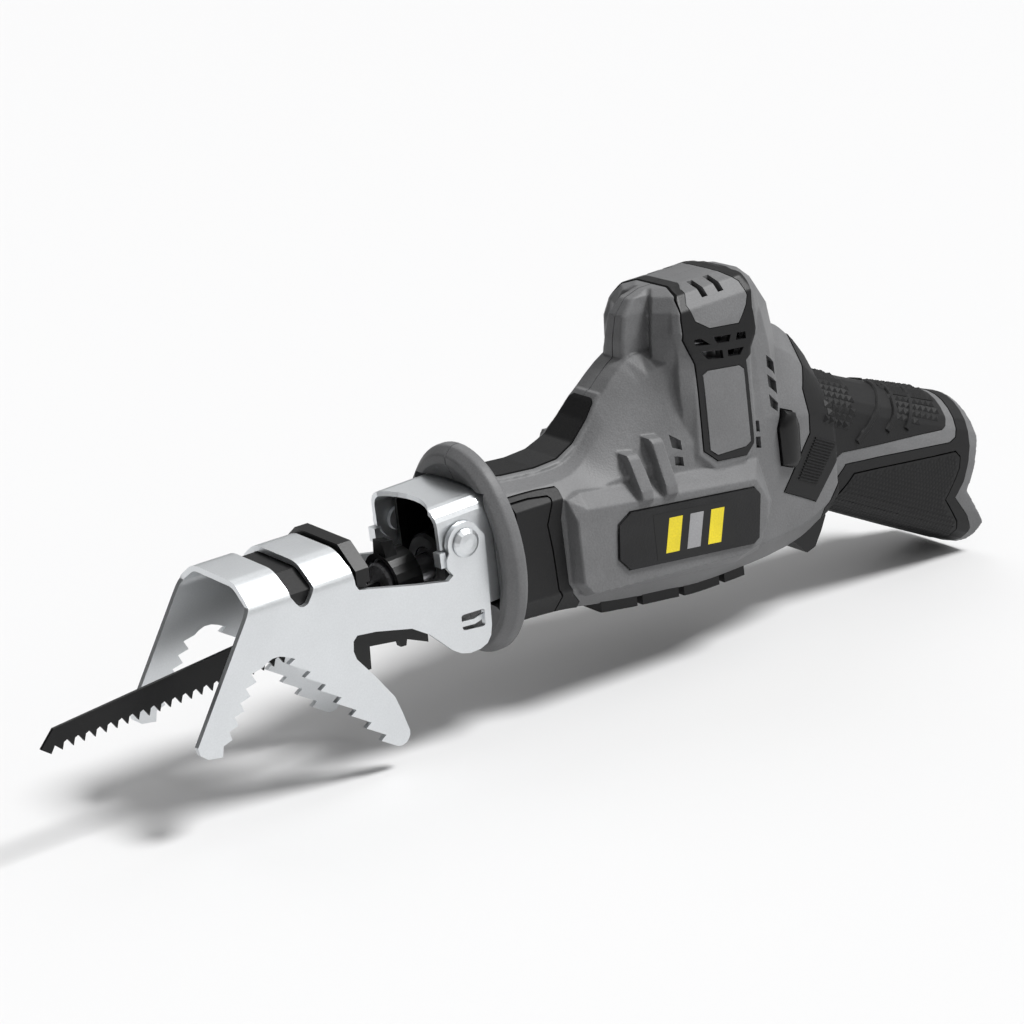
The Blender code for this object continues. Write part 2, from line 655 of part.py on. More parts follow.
def housing_hollow():
    """One helper for the whole inside of the shell, with the screw bosses left standing."""
    shapes = [tower_shape(WALL), handle_shape(WALL, HANDLE_REACH + 14.0)]
    shapes.append(block((-1.0, -19.7, -16.0), (8.0, 19.7, 26.6)))
    hollow = helper(body_shape(WALL), "shell_hollow")
    join(hollow, *[helper(bm, "shell_hollow_part") for bm in shapes])
    return cut(hollow, *[helper(rod(-35, 35, 4.0, (x, 0, z), "y", 12), "screw_boss") for x, z in SCREW_SPOTS])


def tower_vents():
    return [block((x, -40, 44.5), (x + 4.0, 40, 49.5)) for x in (99.0, 106.0, 112.6)]


def housing_openings():
    """Holes in the shell: trigger slot, lock button, vents, screw heads and the battery mouth."""
    shapes = [block((138.4, -8.5, -60.0), (163.6, 8.5, -24.0))]
    shapes.append(loft([guard_ring(-1.0, 0.86), guard_ring(GUARD_DISH, 0.76)]))
    shapes.append(prism(lock_outline(0.4), -40, 40))
    shapes += tower_vents()
    shapes += [block((x0, -6.0, 60.0), (x0 + 3.2, 6.0, 90.0)) for x0 in (100.0, 108.0)]
    shapes.append(block((HANDLE_END_X, -60, -100), (300, 60, 40)))
    notch = [(HANDLE_END_X + 9.0, -30.0), (HANDLE_END_X - 6.0, -42.0), (HANDLE_END_X + 9.0, -52.0)]
    shapes.append(prism(notch, -60, 60))
    return shapes


def lock_outline(grow):
    x, z = LOCK_CENTRE
    points = [(-2.0, 11.4), (3.2, 9.0), (4.6, 4.0), (4.2, -8.6), (1.0, -11.4), (-4.4, -9.0), (-4.8, 5.0)]
    scale_x, scale_z = 1 + grow / 4.5, 1 + grow / 11.0
    return [(x + px * scale_x, z + pz * scale_z) for px, pz in points]


def build_housing_half(name, side, hollow):
    outer = [tower_shape(0.0), handle_shape(0.0, HANDLE_REACH), guard_shape()]
    outer += [bulge_shape(side), heel_shape()]
    shell = add(name, body_shape(0.0), "shell")
    join(shell, *[helper(bm, "shell_form") for bm in outer])
    near, far = sorted((-side * 90.0, side * 0.15))
    away = block((-50, near, -120), (320, far, 120))
    cut(shell, helper(away, "far_side"))
    combine(shell, [hollow], "DIFFERENCE", "MANIFOLD")
    cut(shell, *[helper(bm, "shell_opening") for bm in housing_openings()])
    bores = []
    for x, z in SCREW_SPOTS:
        if side > 0:
            bores.append(rod(-1, 60, 1.7, (x, 0, z), "y", 10))
            bores.append(rod(13.0, 60, 3.4, (x, 0, z), "y", 12))
        else:
            bores.append(rod(-14.0, 1, 1.7, (x, 0, z), "y", 10))
    return cut(shell, *[helper(bm, "screw_bore") for bm in bores])


def build_screws():
    for index, (x, z) in enumerate(SCREW_SPOTS, 1):
        profile = [(-12.5, 0), (-11.5, 1.35), (12.9, 1.35), (13.3, 2.9), (15.6, 2.9), (15.6, 0)]
        add(f"housing_screw_{index}", turned(profile, (x, 0, z), "y", 10), "steel")


# --- controls ----------------------------------------------------------------------------------------------


def build_trigger():
    x, z = TRIGGER_PIVOT
    outline = [(139.0, -24.0), (139.2, -36.5), (143.6, -40.0), (147.1, -43.5), (150.7, -47.2), (154.9, -46.1)]
    outline += [(158.6, -40.6), (161.2, -35.6), (160.6, -29.0), (157.0, -22.5)]
    outline += [(146.0, -20.6), (141.0, -21.4)]
    trigger = add("trigger", prism(outline, -8.0, 8.0), "black_plastic", (x, 0, z))
    cut(trigger, helper(rod(-20, 20, 1.8, (x, 0, z), "y", 12), "trigger_bore"))
    add("trigger_pin", rod(-16.0, 16.0, 1.5, (x, 0, z), "y", 12), "steel")


def build_switch():
    switch = block((147.5, -8.0, -13.0), (166.0, 8.0, 3.0))
    add("switch_body", switch, "black_plastic")
    add("trigger_spring", ring(-16.6, -13.4, 1.6, 2.6, (156.0, 0, 0), "z", 12), "steel")


def build_lock_button():
    button = add("lock_button", prism(lock_outline(0.0), 17.0, 25.6), "black_plastic")
    other = helper(prism(lock_outline(0.0), -25.6, -17.0), "lock_other_end")
    x, z = LOCK_CENTRE
    bar = helper(block((x - 3.0, -20.0, z - 4.0), (x + 3.0, 20.0, z + 4.0)), "lock_bar")
    return join(button, other, bar)


def build_terminal_block():
    along = Vector((math.cos(HANDLE_SLOPE), 0, -math.sin(HANDLE_SLOPE)))
    up = Vector((math.sin(HANDLE_SLOPE), 0, math.cos(HANDLE_SLOPE)))
    base = Vector((HANDLE_START[0], 0, HANDLE_START[1]))

    def slanted(s0, s1, h0, h1, y0, y1):
        corners = [base + along * s + up * h for s, h in ((s0, h0), (s1, h0), (s1, h1), (s0, h1))]
        return prism([(c.x, c.z) for c in corners], y0, y1)

    add("terminal_block", slanted(22.0, 32.0, -12.0, 12.0, -13.0, 13.0), "black_plastic")
    for name, y in (("contact_left", -7.0), ("contact_right", 7.0)):
        add(name, slanted(32.3, 42.0, -4.0, 4.0, y - 0.5, y + 0.5), "bronze")


# --- covers and grips --------------------------------------------------------------------------------------


def build_label_panels():
    for name, side in (("label_panel_left", -1), ("label_panel_right", 1)):
        outline = [(53.8, 8.3), (109.9, 8.3), (112.2, 5.6), (109.9, -10.7), (107.3, -12.6)]
        outline += [(51.1, -12.6), (46.9, -8.0), (48.2, 4.4)]
        points = [(x, sloped(x, z)) for x, z in outline]
        y0, y1 = sorted((side * (BULGE_FACE_Y + GAP), side * (BULGE_FACE_Y + 0.9)))
        add(name, prism(points, y0, y1), "black_plastic")


def shell_skin(name, finish, outline, side, thickness, form):
    """Thin overmoulded skin: the shell's form, grown, kept inside a side outline and outside the shell."""
    y0, y1 = sorted((side * 8.9, side * 40.0)) if side else (-40.0, 40.0)
    skin = add(name, prism(outline, y0, y1), finish)
    combine(skin, [helper(form(-thickness), "skin_outer")], "INTERSECT")
    return cut(skin, helper(form(-GAP), "skin_inner"))


def build_vent_frames():
    """Dark frames wrapped round the sides of the motor tower, pierced for the vents and an inner panel."""
    outline = [(94.6, 9.4), (99.6, 8.2), (113.8, 6.4), (118.0, 9.4)]
    outline += [(118.4, 41.0), (122.4, 51.0), (122.6, 60.0)]
    outline += [(118.5, 69.0), (112.0, 71.6), (92.0, 71.6), (87.6, 67.0), (87.2, 56.5), (95.4, 46.5)]
    for name, side in (("vent_frame_left", -1), ("vent_frame_right", 1)):
        frame = shell_skin(name, "black_plastic", outline, side, 1.3, tower_shape)
        window = prism([(100.0, 13.0), (113.5, 11.6), (113.5, 38.0), (100.0, 38.0)], -40, 40)
        cut(frame, *[helper(bm, "frame_cutter") for bm in [window] + tower_vents()])


def build_neck_grips():
    outline = [(8.6, 18.5), (27.0, 17.5), (26.0, -14.5), (30.5, -22.0), (29.0, -30.0), (8.6, -28.5)]
    for name, side in (("neck_grip_left", -1), ("neck_grip_right", 1)):
        shell_skin(name, "rubber", outline, side, 1.3, body_shape)


def build_top_pad():
    """Pad along the ridge of the neck, following its top line from just behind the guard."""
    line = [(8.4, 26.2)] + [(x, top) for x, top, *_ in BODY_STATIONS[1:6]] + [(60.4, 39.1)]
    section = ((-8.2, GAP), (8.2, GAP), (7.4, 1.8), (-7.4, 1.8))
    return add("thumb_pad", loft([[(x, y, top + rise) for y, rise in section] for x, top in line]), "rubber")


def handle_form(inset):
    return handle_shape(inset, 96.0)


def build_handle_grips():
    top = [(160.0, 40.0), (156.5, 0.0), (143.0, -17.0), (152.5, -21.5), (168.0, -8.0), (214.0, -16.0),
           (206.0, 4.0), (204.0, 30.0)]
    saddle = shell_skin("grip_saddle", "rubber", top, 0, 1.5, handle_form)
    body = helper(body_shape(-0.6), "saddle_body")
    cut(saddle, body)
    low = [(160.0, -34.0), (157.0, -27.0), (170.5, -12.5), (216.0, -20.5), (221.0, -32.0), (218.0, -44.0),
           (222.0, -56.0), (205.0, -60.0)]
    for name, side in (("grip_panel_left", -1), ("grip_panel_right", 1)):
        shell_skin(name, "rubber", low, side, 1.5, handle_form)


def build_bumper():
    outline = [(50.0, -20.0), (50.0, -40.0), (112.0, -46.0), (112.0, -20.0)]
    bumper = shell_skin("bumper_strip", "rubber", outline, 0, 1.6, body_shape)
    sides = [block((0, 17.0, -80), (180, 60, 20)), block((0, -60, -80), (180, -17.0, 20))]
    return cut(bumper, *[helper(bm, "bumper_side") for bm in sides])


# --- finishing ------------------------------------------------------------------------------------------


def apply_modifiers():
    """Settle every piece in the tool's own frame, and drop the cutters."""
    bpy.context.view_layer.update()
    graph = bpy.context.evaluated_depsgraph_get()
    pieces = [obj for obj in bpy.context.scene.objects if not obj.hide_render]
    settled = {obj.name: bpy.data.meshes.new_from_object(obj.evaluated_get(graph)) for obj in pieces}
    for obj in pieces:
        obj.modifiers.clear()
        obj.data = settled[obj.name]
        obj.data.name = obj.name
    for obj in [obj for obj in bpy.context.scene.objects if obj.hide_render]:
        bpy.data.objects.remove(obj, do_unlink=True)


def lean_and_stand():
    """Parent the tool to one empty that leans it onto its jaw and heel, with the origin under its middle."""
    heel_x, heel_z, heel_r = JAW_HEEL
    foot_x, foot_z = HEEL[0] + 3.5, HEEL[1]
    run, drop = foot_x - heel_x, heel_z - foot_z
    reach = math.hypot(run, drop)
    lean = math.atan2(drop, run) - math.asin(heel_r / reach)
    frame = bpy.data.objects.new("tool_frame", None)
    bpy.context.scene.collection.objects.link(frame)
    turn = Matrix.Rotation(-lean, 4, "Y")
    pieces = [obj for obj in bpy.context.scene.objects if obj.type == "MESH"]
    points = [turn @ (obj.location + vertex.co) for obj in pieces for vertex in obj.data.vertices]
    low = Vector([min(point[i] for point in points) for i in range(3)])
    high = Vector([max(point[i] for point in points) for i in range(3)])
    frame.matrix_world = Matrix.Translation((-(low.x + high.x) / 2, -(low.y + high.y) / 2, -low.z)) @ turn
    for obj in pieces:
        obj.parent = frame


def main():
    clear_scene()
    build_blade()
    build_plunger()
    build_clamp()
    build_jaw()
    build_jaw_liner()
    build_bracket()
    build_rivets()
    build_shoe_lining()
    build_gear_case()
    build_bushes()
    build_yoke()
    build_gears()
    build_motor_plate()
    build_motor()
    hollow = housing_hollow()
    build_housing_half("housing_left", -1, hollow)
    build_housing_half("housing_right", 1, hollow)
    build_screws()
    build_trigger()
    build_switch()
    build_lock_button()
    build_terminal_block()
    build_label_panels()
    build_vent_frames()
    build_neck_grips()
    build_top_pad()
    build_handle_grips()
    build_bumper()
    apply_modifiers()
    lean_and_stand()


main()
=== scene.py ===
import json
import math

import bmesh
import bpy
from mathutils import Matrix, Vector
from mathutils.bvhtree import BVHTree


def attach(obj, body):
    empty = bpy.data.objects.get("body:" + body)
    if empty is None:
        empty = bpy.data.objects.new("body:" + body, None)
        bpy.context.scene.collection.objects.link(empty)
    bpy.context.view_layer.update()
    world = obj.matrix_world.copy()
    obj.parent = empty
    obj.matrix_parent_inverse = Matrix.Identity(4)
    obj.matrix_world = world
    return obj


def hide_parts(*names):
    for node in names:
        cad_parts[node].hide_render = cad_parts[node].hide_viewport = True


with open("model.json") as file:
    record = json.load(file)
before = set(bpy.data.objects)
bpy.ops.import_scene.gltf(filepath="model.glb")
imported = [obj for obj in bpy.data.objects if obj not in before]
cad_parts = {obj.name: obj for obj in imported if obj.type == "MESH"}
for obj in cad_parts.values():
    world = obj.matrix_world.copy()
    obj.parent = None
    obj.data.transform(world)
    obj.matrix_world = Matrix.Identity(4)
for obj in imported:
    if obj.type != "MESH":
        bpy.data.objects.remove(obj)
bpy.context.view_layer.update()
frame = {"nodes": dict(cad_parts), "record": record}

# Everything is shaped in the tool's own frame in millimetres: +X along the blade axis towards the handle,
# +Z up, -Y the tool's left side. The frame's joints say where that frame stands.
JOINTS = {joint["name"]: joint for joint in frame["record"]["behaviour"]["joints"]}
CRANK_X = 86.0
UP = Vector(JOINTS["crank_spin"]["axis"]).normalized()
ALONG = -Vector(JOINTS["blade_stroke"]["axis"]).normalized()
ACROSS = UP.cross(ALONG).normalized()
ORIGIN = Vector(JOINTS["crank_spin"]["pos_m"]) - ALONG * CRANK_X / 1000
TOOL = Matrix.Translation(ORIGIN) @ Matrix((ALONG, ACROSS, UP)).transposed().to_4x4() @ Matrix.Scale(0.001, 4)
SIDES = (("left", -1), ("right", 1))
VOXEL = 0.5
WALL = 2.9
SPLIT = 0.01
RUBBER_LIFT = 0.3
LABEL_RISE = 0.92
STUD_REACH = 24.5
COVER_GAP, COVER_GROOVE = 0.35, 0.3
COVER_FOOT, POCKET_DEPTH, RECESS_DEPTH, SEAM_DEPTH = -1.1, -1.3, -2.2, -0.6
SEAM_HALF_WIDTH = 0.22
SCREW_BORE, SCREW_HEAD, SCREW_POST = 1.75, 3.5, 4.0


# --- mesh helpers ------------------------------------------------------------------------------------------


def to_object(bm, name="form"):
    bmesh.ops.recalc_face_normals(bm, faces=bm.faces)
    if bm.calc_volume(signed=True) < 0:
        bmesh.ops.reverse_faces(bm, faces=bm.faces)
    mesh = bpy.data.meshes.new(name)
    bm.to_mesh(mesh)
    bm.free()
    obj = bpy.data.objects.new(name, mesh)
    bpy.context.scene.collection.objects.link(obj)
    return obj


def loft(rings):
    bm = bmesh.new()
    rows = [[bm.verts.new(point) for point in ring] for ring in rings]
    for low, high in zip(rows, rows[1:]):
        for i in range(len(low)):
            j = (i + 1) % len(low)
            bm.faces.new((low[i], low[j], high[j], high[i]))
    bm.faces.new(rows[0])
    bm.faces.new(rows[-1])
    bm.normal_update()
    bmesh.ops.triangulate(bm, faces=bm.faces)
    return to_object(bm)


def prism(outline, y0, y1):
    return loft([[(x, y, z) for x, z in outline] for y in (y0, y1)])


def prism_x(outline, x0, x1):
    return loft([[(x, y, z) for y, z in outline] for x in (x0, x1)])


def prism_z(outline, z0, z1):
    return loft([[(x, y, z) for x, y in outline] for z in (z0, z1)])


def block(low, high):
    (x0, y0, z0), (x1, y1, z1) = low, high
    return prism([(x0, z0), (x1, z0), (x1, z1), (x0, z1)], y0, y1)


def circle(centre, radius, sides):
    turns = [2 * math.pi * i / sides for i in range(sides)]
    return [(centre[0] + radius * math.cos(a), centre[1] + radius * math.sin(a)) for a in turns]


def rod(y0, y1, radius, x, z, sides=24):
    return prism(circle((x, z), radius, sides), y0, y1)


def gather(objects, name="form"):
    """Several separate closed forms as one mesh."""
    bm = bmesh.new()
    for obj in objects:
        bm.from_mesh(obj.data)
        drop(obj)
    return to_object(bm, name)


def drop(obj):
    mesh = obj.data
    bpy.data.objects.remove(obj)
    bpy.data.meshes.remove(mesh)


def copy_of(obj):
    made = bpy.data.objects.new(obj.name, obj.data.copy())
    bpy.context.scene.collection.objects.link(made)
    return made


def settle(obj):
    """Apply the object's modifiers."""
    bpy.context.view_layer.update()
    graph = bpy.context.evaluated_depsgraph_get()
    mesh = bpy.data.meshes.new_from_object(obj.evaluated_get(graph))
    old = obj.data
    obj.modifiers.clear()
    obj.data = mesh
    bpy.data.meshes.remove(old)
    return obj


def boolean(target, other, operation, keep=False):
    modifier = target.modifiers.new("shape", "BOOLEAN")
    modifier.operation = operation
    modifier.solver = "MANIFOLD"
    modifier.object = other
    settle(target)
    if not keep:
        drop(other)
    return target


def union(objects):
    first, rest = objects[0], objects[1:]
    for other in rest:
        boolean(first, other, "UNION")
    return first


def soften(obj, voxel=VOXEL, passes=1):
    """Rebuild the surface in even small faces and relax it, which rounds the moulded edges."""
    remesh = obj.modifiers.new("even", "REMESH")
    remesh.mode = "VOXEL"
    remesh.voxel_size = voxel
    smooth = obj.modifiers.new("relax", "SMOOTH")
    smooth.factor = 0.5
    smooth.iterations = passes
    return settle(obj)


def grown(obj, distance):
    made = copy_of(obj)
    if distance:
        normals = [vertex.normal.copy() for vertex in made.data.vertices]
        for vertex, normal in zip(made.data.vertices, normals):
            vertex.co += normal * distance
    return made


def mirrored(half):
    return [(-y, z) for y, z in half] + [(y, z) for y, z in reversed(half)]


def rounded(points, passes=1):
    for _ in range(passes):
        cut = []
        for here, there in zip(points, points[1:] + points[:1]):
            cut += [tuple(a + (b - a) * t for a, b in zip(here, there)) for t in (0.25, 0.75)]
        points = cut
    return points


def offset(points, distance):
    """Closed outline moved outwards by a distance, with mitred corners."""
    area = sum(a[0] * b[1] - b[0] * a[1] for a, b in zip(points, points[1:] + points[:1]))
    sign = 1 if area > 0 else -1
    moved = []
    for i, point in enumerate(points):
        before, after = Vector(points[i - 1]), Vector(points[(i + 1) % len(points)])
        here = Vector(point)
        a, b = (here - before).normalized(), (after - here).normalized()
        na, nb = Vector((a.y, -a.x)) * sign, Vector((b.y, -b.x)) * sign
        bisector = na + nb
        scale = distance / max(0.35, 1 + na.dot(nb))
        moved.append(tuple(here + bisector * scale))
    return moved


# --- finishes ----------------------------------------------------------------------------------------------


def finish_material(name, color, roughness, metallic=0.0, grain=2600, bump=0.25, depth=0.0001, variation=0.08,
                    stretch=(1, 1, 1), edge_wear_and_crease_shade=0.0, specular=0.5, speckle=0.14):
    """Moulded, coated or plated surface: fine grain in the bump, soft variation in colour and roughness, and,
    if asked, outer edges lightened for wear and creases darkened with painted shade.
    """
    made = bpy.data.materials.new(name)
    made.use_nodes = True
    tree = made.node_tree
    nodes, links = tree.nodes, tree.links
    shader = nodes["Principled BSDF"]
    shader.inputs["Metallic"].default_value = metallic
    shader.inputs["Specular IOR Level"].default_value = specular
    coords = nodes.new("ShaderNodeTexCoord")
    mapping = nodes.new("ShaderNodeMapping")
    mapping.inputs["Scale"].default_value = stretch
    links.new(coords.outputs["Object"], mapping.inputs["Vector"])

    def noise(scale, detail):
        node = nodes.new("ShaderNodeTexNoise")
        node.inputs["Scale"].default_value = scale
        node.inputs["Detail"].default_value = detail
        links.new(mapping.outputs["Vector"], node.inputs["Vector"])
        return node.outputs["Fac"]

    def ramp(source, low, high, start=0.3, end=0.7):
        node = nodes.new("ShaderNodeValToRGB")
        node.color_ramp.elements[0].position, node.color_ramp.elements[1].position = start, end
        node.color_ramp.elements[0].color = (*low, 1)
        node.color_ramp.elements[1].color = (*high, 1)
        links.new(source, node.inputs["Fac"])
        return node.outputs["Color"]

    broad, fine = noise(70, 3), noise(grain, 2)
    tone = ramp(broad, [c * (1 - variation) for c in color], [c * (1 + variation) for c in color])
    speck = ramp(fine, [1 - speckle] * 3, [1 + speckle] * 3)
    blend = nodes.new("ShaderNodeMix")
    blend.data_type, blend.blend_type = "RGBA", "MULTIPLY"
    blend.inputs["Factor"].default_value = 0.6
    links.new(tone, blend.inputs["A"])
    links.new(speck, blend.inputs["B"])
    result = blend.outputs["Result"]
    # Pointiness tone: outer edges lighter, standing for wear; creases and inner corners darker, which is
    # painted shade.
    if edge_wear_and_crease_shade:
        shape = nodes.new("ShaderNodeNewGeometry")
        edge = ramp(shape.outputs["Pointiness"], [1.0 - 1.6 * edge_wear_and_crease_shade] * 3, [1.0 + edge_wear_and_crease_shade] * 3, 0.43, 0.6)
        for place in (0.49, 0.52):
            edge.node.color_ramp.elements.new(place).color = (1, 1, 1, 1)
        lift = nodes.new("ShaderNodeMix")
        lift.data_type, lift.blend_type, lift.clamp_result = "RGBA", "MULTIPLY", False
        lift.inputs["Factor"].default_value = 1.0
        links.new(result, lift.inputs["A"])
        links.new(edge, lift.inputs["B"])
        result = lift.outputs["Result"]
    links.new(result, shader.inputs["Base Color"])
    spread = nodes.new("ShaderNodeMapRange")
    spread.inputs["To Min"].default_value = roughness - 0.07
    spread.inputs["To Max"].default_value = roughness + 0.07
    links.new(fine, spread.inputs["Value"])
    links.new(spread.outputs["Result"], shader.inputs["Roughness"])
    ridge = nodes.new("ShaderNodeBump")
    ridge.inputs["Strength"].default_value = bump
    ridge.inputs["Distance"].default_value = depth
    links.new(fine, ridge.inputs["Height"])
    links.new(ridge.outputs["Normal"], shader.inputs["Normal"])
    return made


MATERIALS = {
    # The shell gets painted shade in its creases and inner corners from the pointiness tone, and its outer
    # edges are lightened for wear.
    "shell": finish_material("shell_grained", (0.150, 0.151, 0.154), 0.5, grain=1500, bump=0.6, depth=0.00014,
                             edge_wear_and_crease_shade=0.25, specular=0.35),
    "rubber": finish_material("rubber_grained", (0.0075, 0.0075, 0.0079), 0.52, grain=1500, bump=0.5,
                              specular=0.3),
    "black_plastic": finish_material("black_satin", (0.005, 0.005, 0.0053), 0.34, grain=1500, bump=0.15,
                                     specular=0.35),
    "frame": finish_material("frame_satin", (0.008, 0.008, 0.0084), 0.42, grain=2000, bump=0.3, specular=0.3),
    "zinc": finish_material("zinc_plate", (0.74, 0.76, 0.775), 0.43, 1.0, grain=1600, bump=0.03, depth=0.0001,
                            variation=0.02, speckle=0.05),
    "blade_steel": finish_material("blade_black", (0.004, 0.004, 0.0043), 0.4, grain=3200, bump=0.2,
                                   variation=0.15, specular=0.3),
    "steel": finish_material("steel_turned", (0.5, 0.5, 0.52), 0.3, 1.0, grain=900, bump=0.1,
                             stretch=(0.1, 1, 1)),
    "bronze": finish_material("bronze_sintered", (0.5, 0.33, 0.16), 0.42, 1.0, grain=1800, bump=0.3),
    "label": finish_material("label_grained", (0.012, 0.012, 0.0127), 0.5, grain=1100, bump=0.6,
                             depth=0.00015, variation=0.2, specular=0.3),
    "yellow": finish_material("label_yellow", (0.78, 0.63, 0.012), 0.4, grain=1500, bump=0.08),
    "grey": finish_material("label_grey", (0.3, 0.3, 0.31), 0.42, grain=1500, bump=0.08),
}
PIECES = []


def finish_piece(obj, name, finish, body, *nodes, angle=38):
    """Name a shape, give it its material, and set it in the model's frame on its body."""
    obj.name = obj.data.name = name
    obj.data.transform(TOOL)
    obj.data.shade_smooth()
    obj.data.set_sharp_from_angle(angle=math.radians(angle))
    obj.data.materials.clear()
    obj.data.materials.append(MATERIALS[finish])
    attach(obj, body)
    if nodes:
        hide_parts(*nodes)
    PIECES.append(obj)
    return obj


# --- the shell's outside -----------------------------------------------------------------------------------

SIDE_SLOPE, SIDE_SLOPE_X = -0.152, 33.0
HANDLE_SLOPE = math.radians(27.1)
HANDLE_START = Vector((150.0, 0.0, 1.2))
HANDLE_ALONG = Vector((math.cos(HANDLE_SLOPE), 0, -math.sin(HANDLE_SLOPE)))
HANDLE_UP = Vector((math.sin(HANDLE_SLOPE), 0, math.cos(HANDLE_SLOPE)))
BULGE_FACE = 29.0
HEEL, HEEL_HALF_WIDTH = (229.5, -61.6), 12.0
GUARD_CENTRE_Z, GUARD_HALF = 1.0, (30.5, 38.0)
LOCK = (133.2, 7.0)
SCREWS = ((31.0, 17.4), (44.0, -21.0), (71.0, 28.0), (112.0, -28.0), (140.5, 24.0), (166.0, 7.0))

# x, top, bottom, half width of the crest, facet edge (y, z), half width, shoulder height
BODY = (
    (4.9, 27.2, -23.6, 9.0, 16.5, 24.0, 23.6, 17.6),
    (16.0, 24.8, -24.8, 9.2, 17.0, 21.8, 23.0, 16.8),
    (30.0, 23.2, -26.6, 9.4, 17.4, 20.6, 22.8, 16.0),
    (40.0, 23.4, -28.6, 9.4, 16.4, 20.8, 23.0, 15.6),
    (48.0, 26.6, -30.2, 9.2, 14.4, 23.6, 23.4, 15.6),
    (55.0, 32.6, -31.4, 8.8, 13.4, 28.4, 23.6, 15.8),
    (61.5, 39.4, -32.6, 7.6, 13.0, 33.2, 23.6, 16.2),
    (76.0, 50.0, -34.8, 6.6, 13.4, 42.6, 23.6, 17.0),
    (90.0, 50.5, -36.8, 8.0, 17.0, 48.0, 23.8, 19.0),
    (112.0, 50.0, -37.6, 8.0, 17.0, 46.0, 23.8, 20.0),
    (130.0, 49.0, -37.4, 8.0, 16.6, 42.0, 23.2, 16.0),
    (142.0, 45.6, -36.0, 8.0, 15.6, 36.0, 22.4, 13.0),
    (150.0, 38.6, -33.4, 8.0, 15.0, 28.0, 21.8, 11.0),
    (157.0, 28.6, -31.0, 8.0, 14.4, 20.0, 21.2, 8.0),
)
# z, front, half width of the ridge, cove (x, y), shoulder (x, y), side's front edge, rear, half width
TOWER = (
    (6.0, 80.0, 5.6, 87.0, 6.6, 86.0, 12.0, 92.0, 140.0, 23.6),
    (16.0, 75.0, 5.6, 87.0, 6.8, 84.6, 12.0, 90.0, 142.6, 23.6),
    (44.0, 75.0, 5.6, 86.6, 6.8, 83.6, 11.6, 89.5, 141.4, 22.4),
    (56.0, 76.2, 5.4, 87.6, 6.4, 84.8, 11.0, 89.0, 140.0, 21.2),
    (64.5, 78.6, 4.8, 89.0, 5.8, 86.8, 10.0, 91.0, 136.0, 19.0),
    (69.4, 83.4, 3.6, 90.4, 4.6, 89.2, 8.0, 93.5, 130.5, 14.8),
    (71.3, 90.0, 2.4, 92.6, 3.0, 92.4, 4.6, 96.0, 122.0, 8.8),
)


def sloped(x, z):
    return z + SIDE_SLOPE * (x - SIDE_SLOPE_X)


def eased(rows, steps=4):
    """More rows on a smooth curve through the given ones."""
    made = []
    for i in range(len(rows) - 1):
        before, a, b, after = rows[max(0, i - 1)], rows[i], rows[i + 1], rows[min(len(rows) - 1, i + 2)]
        for k in range(steps):
            t = k / steps
            made.append(tuple(
                0.5 * (2 * q + (r - p) * t + (2 * p - 5 * q + 4 * r - u) * t ** 2
                       + (3 * q - p - 3 * r + u) * t ** 3)
                for p, q, r, u in zip(before, a, b, after)))
    return made + [rows[-1]]


def body_form(inset=0.0):
    rings = []
    rows = eased(BODY)
    for index, (x, top, bottom, crest, facet_y, facet_z, width, shoulder) in enumerate(rows):
        if inset:
            x += {0: -0.3, len(rows) - 1: -inset}.get(index, 0.0)
        half = [(crest - 0.5 * inset, top - inset), (facet_y - 0.7 * inset, facet_z - 0.8 * inset)]
        low = (width - inset, shoulder - 0.5 * inset)
        half += [tuple(a + (b - a) * k / 6 for a, b in zip(half[1], low)) for k in range(1, 6)]
        half += [low, (width - inset, bottom + 9), (width - 7 - inset, bottom + inset)]
        rings.append([(x, y, z) for y, z in mirrored(half)])
    return loft(rings)


def tower_form(inset=0.0):
    rings = []
    last = len(TOWER) - 1
    for index, row in enumerate(TOWER):
        z, front, ridge_y, cove_x, cove_y, shoulder_x, shoulder_y, edge_x, rear, width = row
        drop_by = {last: inset, last - 1: 0.7 * inset}.get(index, 0.0)
        if inset:
            half = [(cove_x + inset, -cove_y), (edge_x + 0.6 * inset, 0.97 * (inset - width))]
        else:
            half = [(front, -ridge_y + 1), (front + 1.2, -ridge_y), (cove_x, -cove_y),
                    (shoulder_x, -shoulder_y), (edge_x, -0.96 * width), (edge_x + 6.0, -width)]
        rear, width = rear - inset, width - inset
        half += [(rear - 20.0, -width), (rear - 12.0, -0.94 * width), (rear - 4.0, -0.66 * width),
                 (rear, -6.0)]
        outline = half + [(x, -y) for x, y in reversed(half)]
        rings.append([(x, y, z - drop_by) for x, y in outline])
    return loft(rings)


def handle_form(inset=0.0, end=100.0):
    rings = []
    # distance along the handle, rise of the centre line, half height, half width
    stations = ((-8.0, 0.0, 24.6, 20.4), (30.0, 0.4, 26.0, 20.8), (62.0, 1.6, 28.0, 21.0),
                (end, 3.4, 30.4, 21.2))
    for s, rise, height, width in stations:
        height, width = height - inset, width - inset
        centre = HANDLE_START + HANDLE_ALONG * s + HANDLE_UP * rise
        half = [(0.4 * width, 0.9 * height), (width, 0.46 * height), (width, -0.5 * height),
                (0.62 * width, -height)]
        section = rounded(mirrored(half), 2)
        rings.append([tuple(centre + Vector((0, y, 0)) + HANDLE_UP * h) for y, h in section])
    return loft(rings)


def guard_ring(x, scale):
    half_y, half_z = GUARD_HALF
    return [(x, scale * y * half_y, GUARD_CENTRE_Z + scale * z * half_z) for y, z in circle((0, 0), 1, 72)]


def guard_form():
    profile = ((0.0, 0.915), (0.7, 0.935), (3.2, 0.995), (4.2, 1.0), (6.8, 1.0), (7.6, 0.97))
    return loft([guard_ring(x, scale) for x, scale in profile])


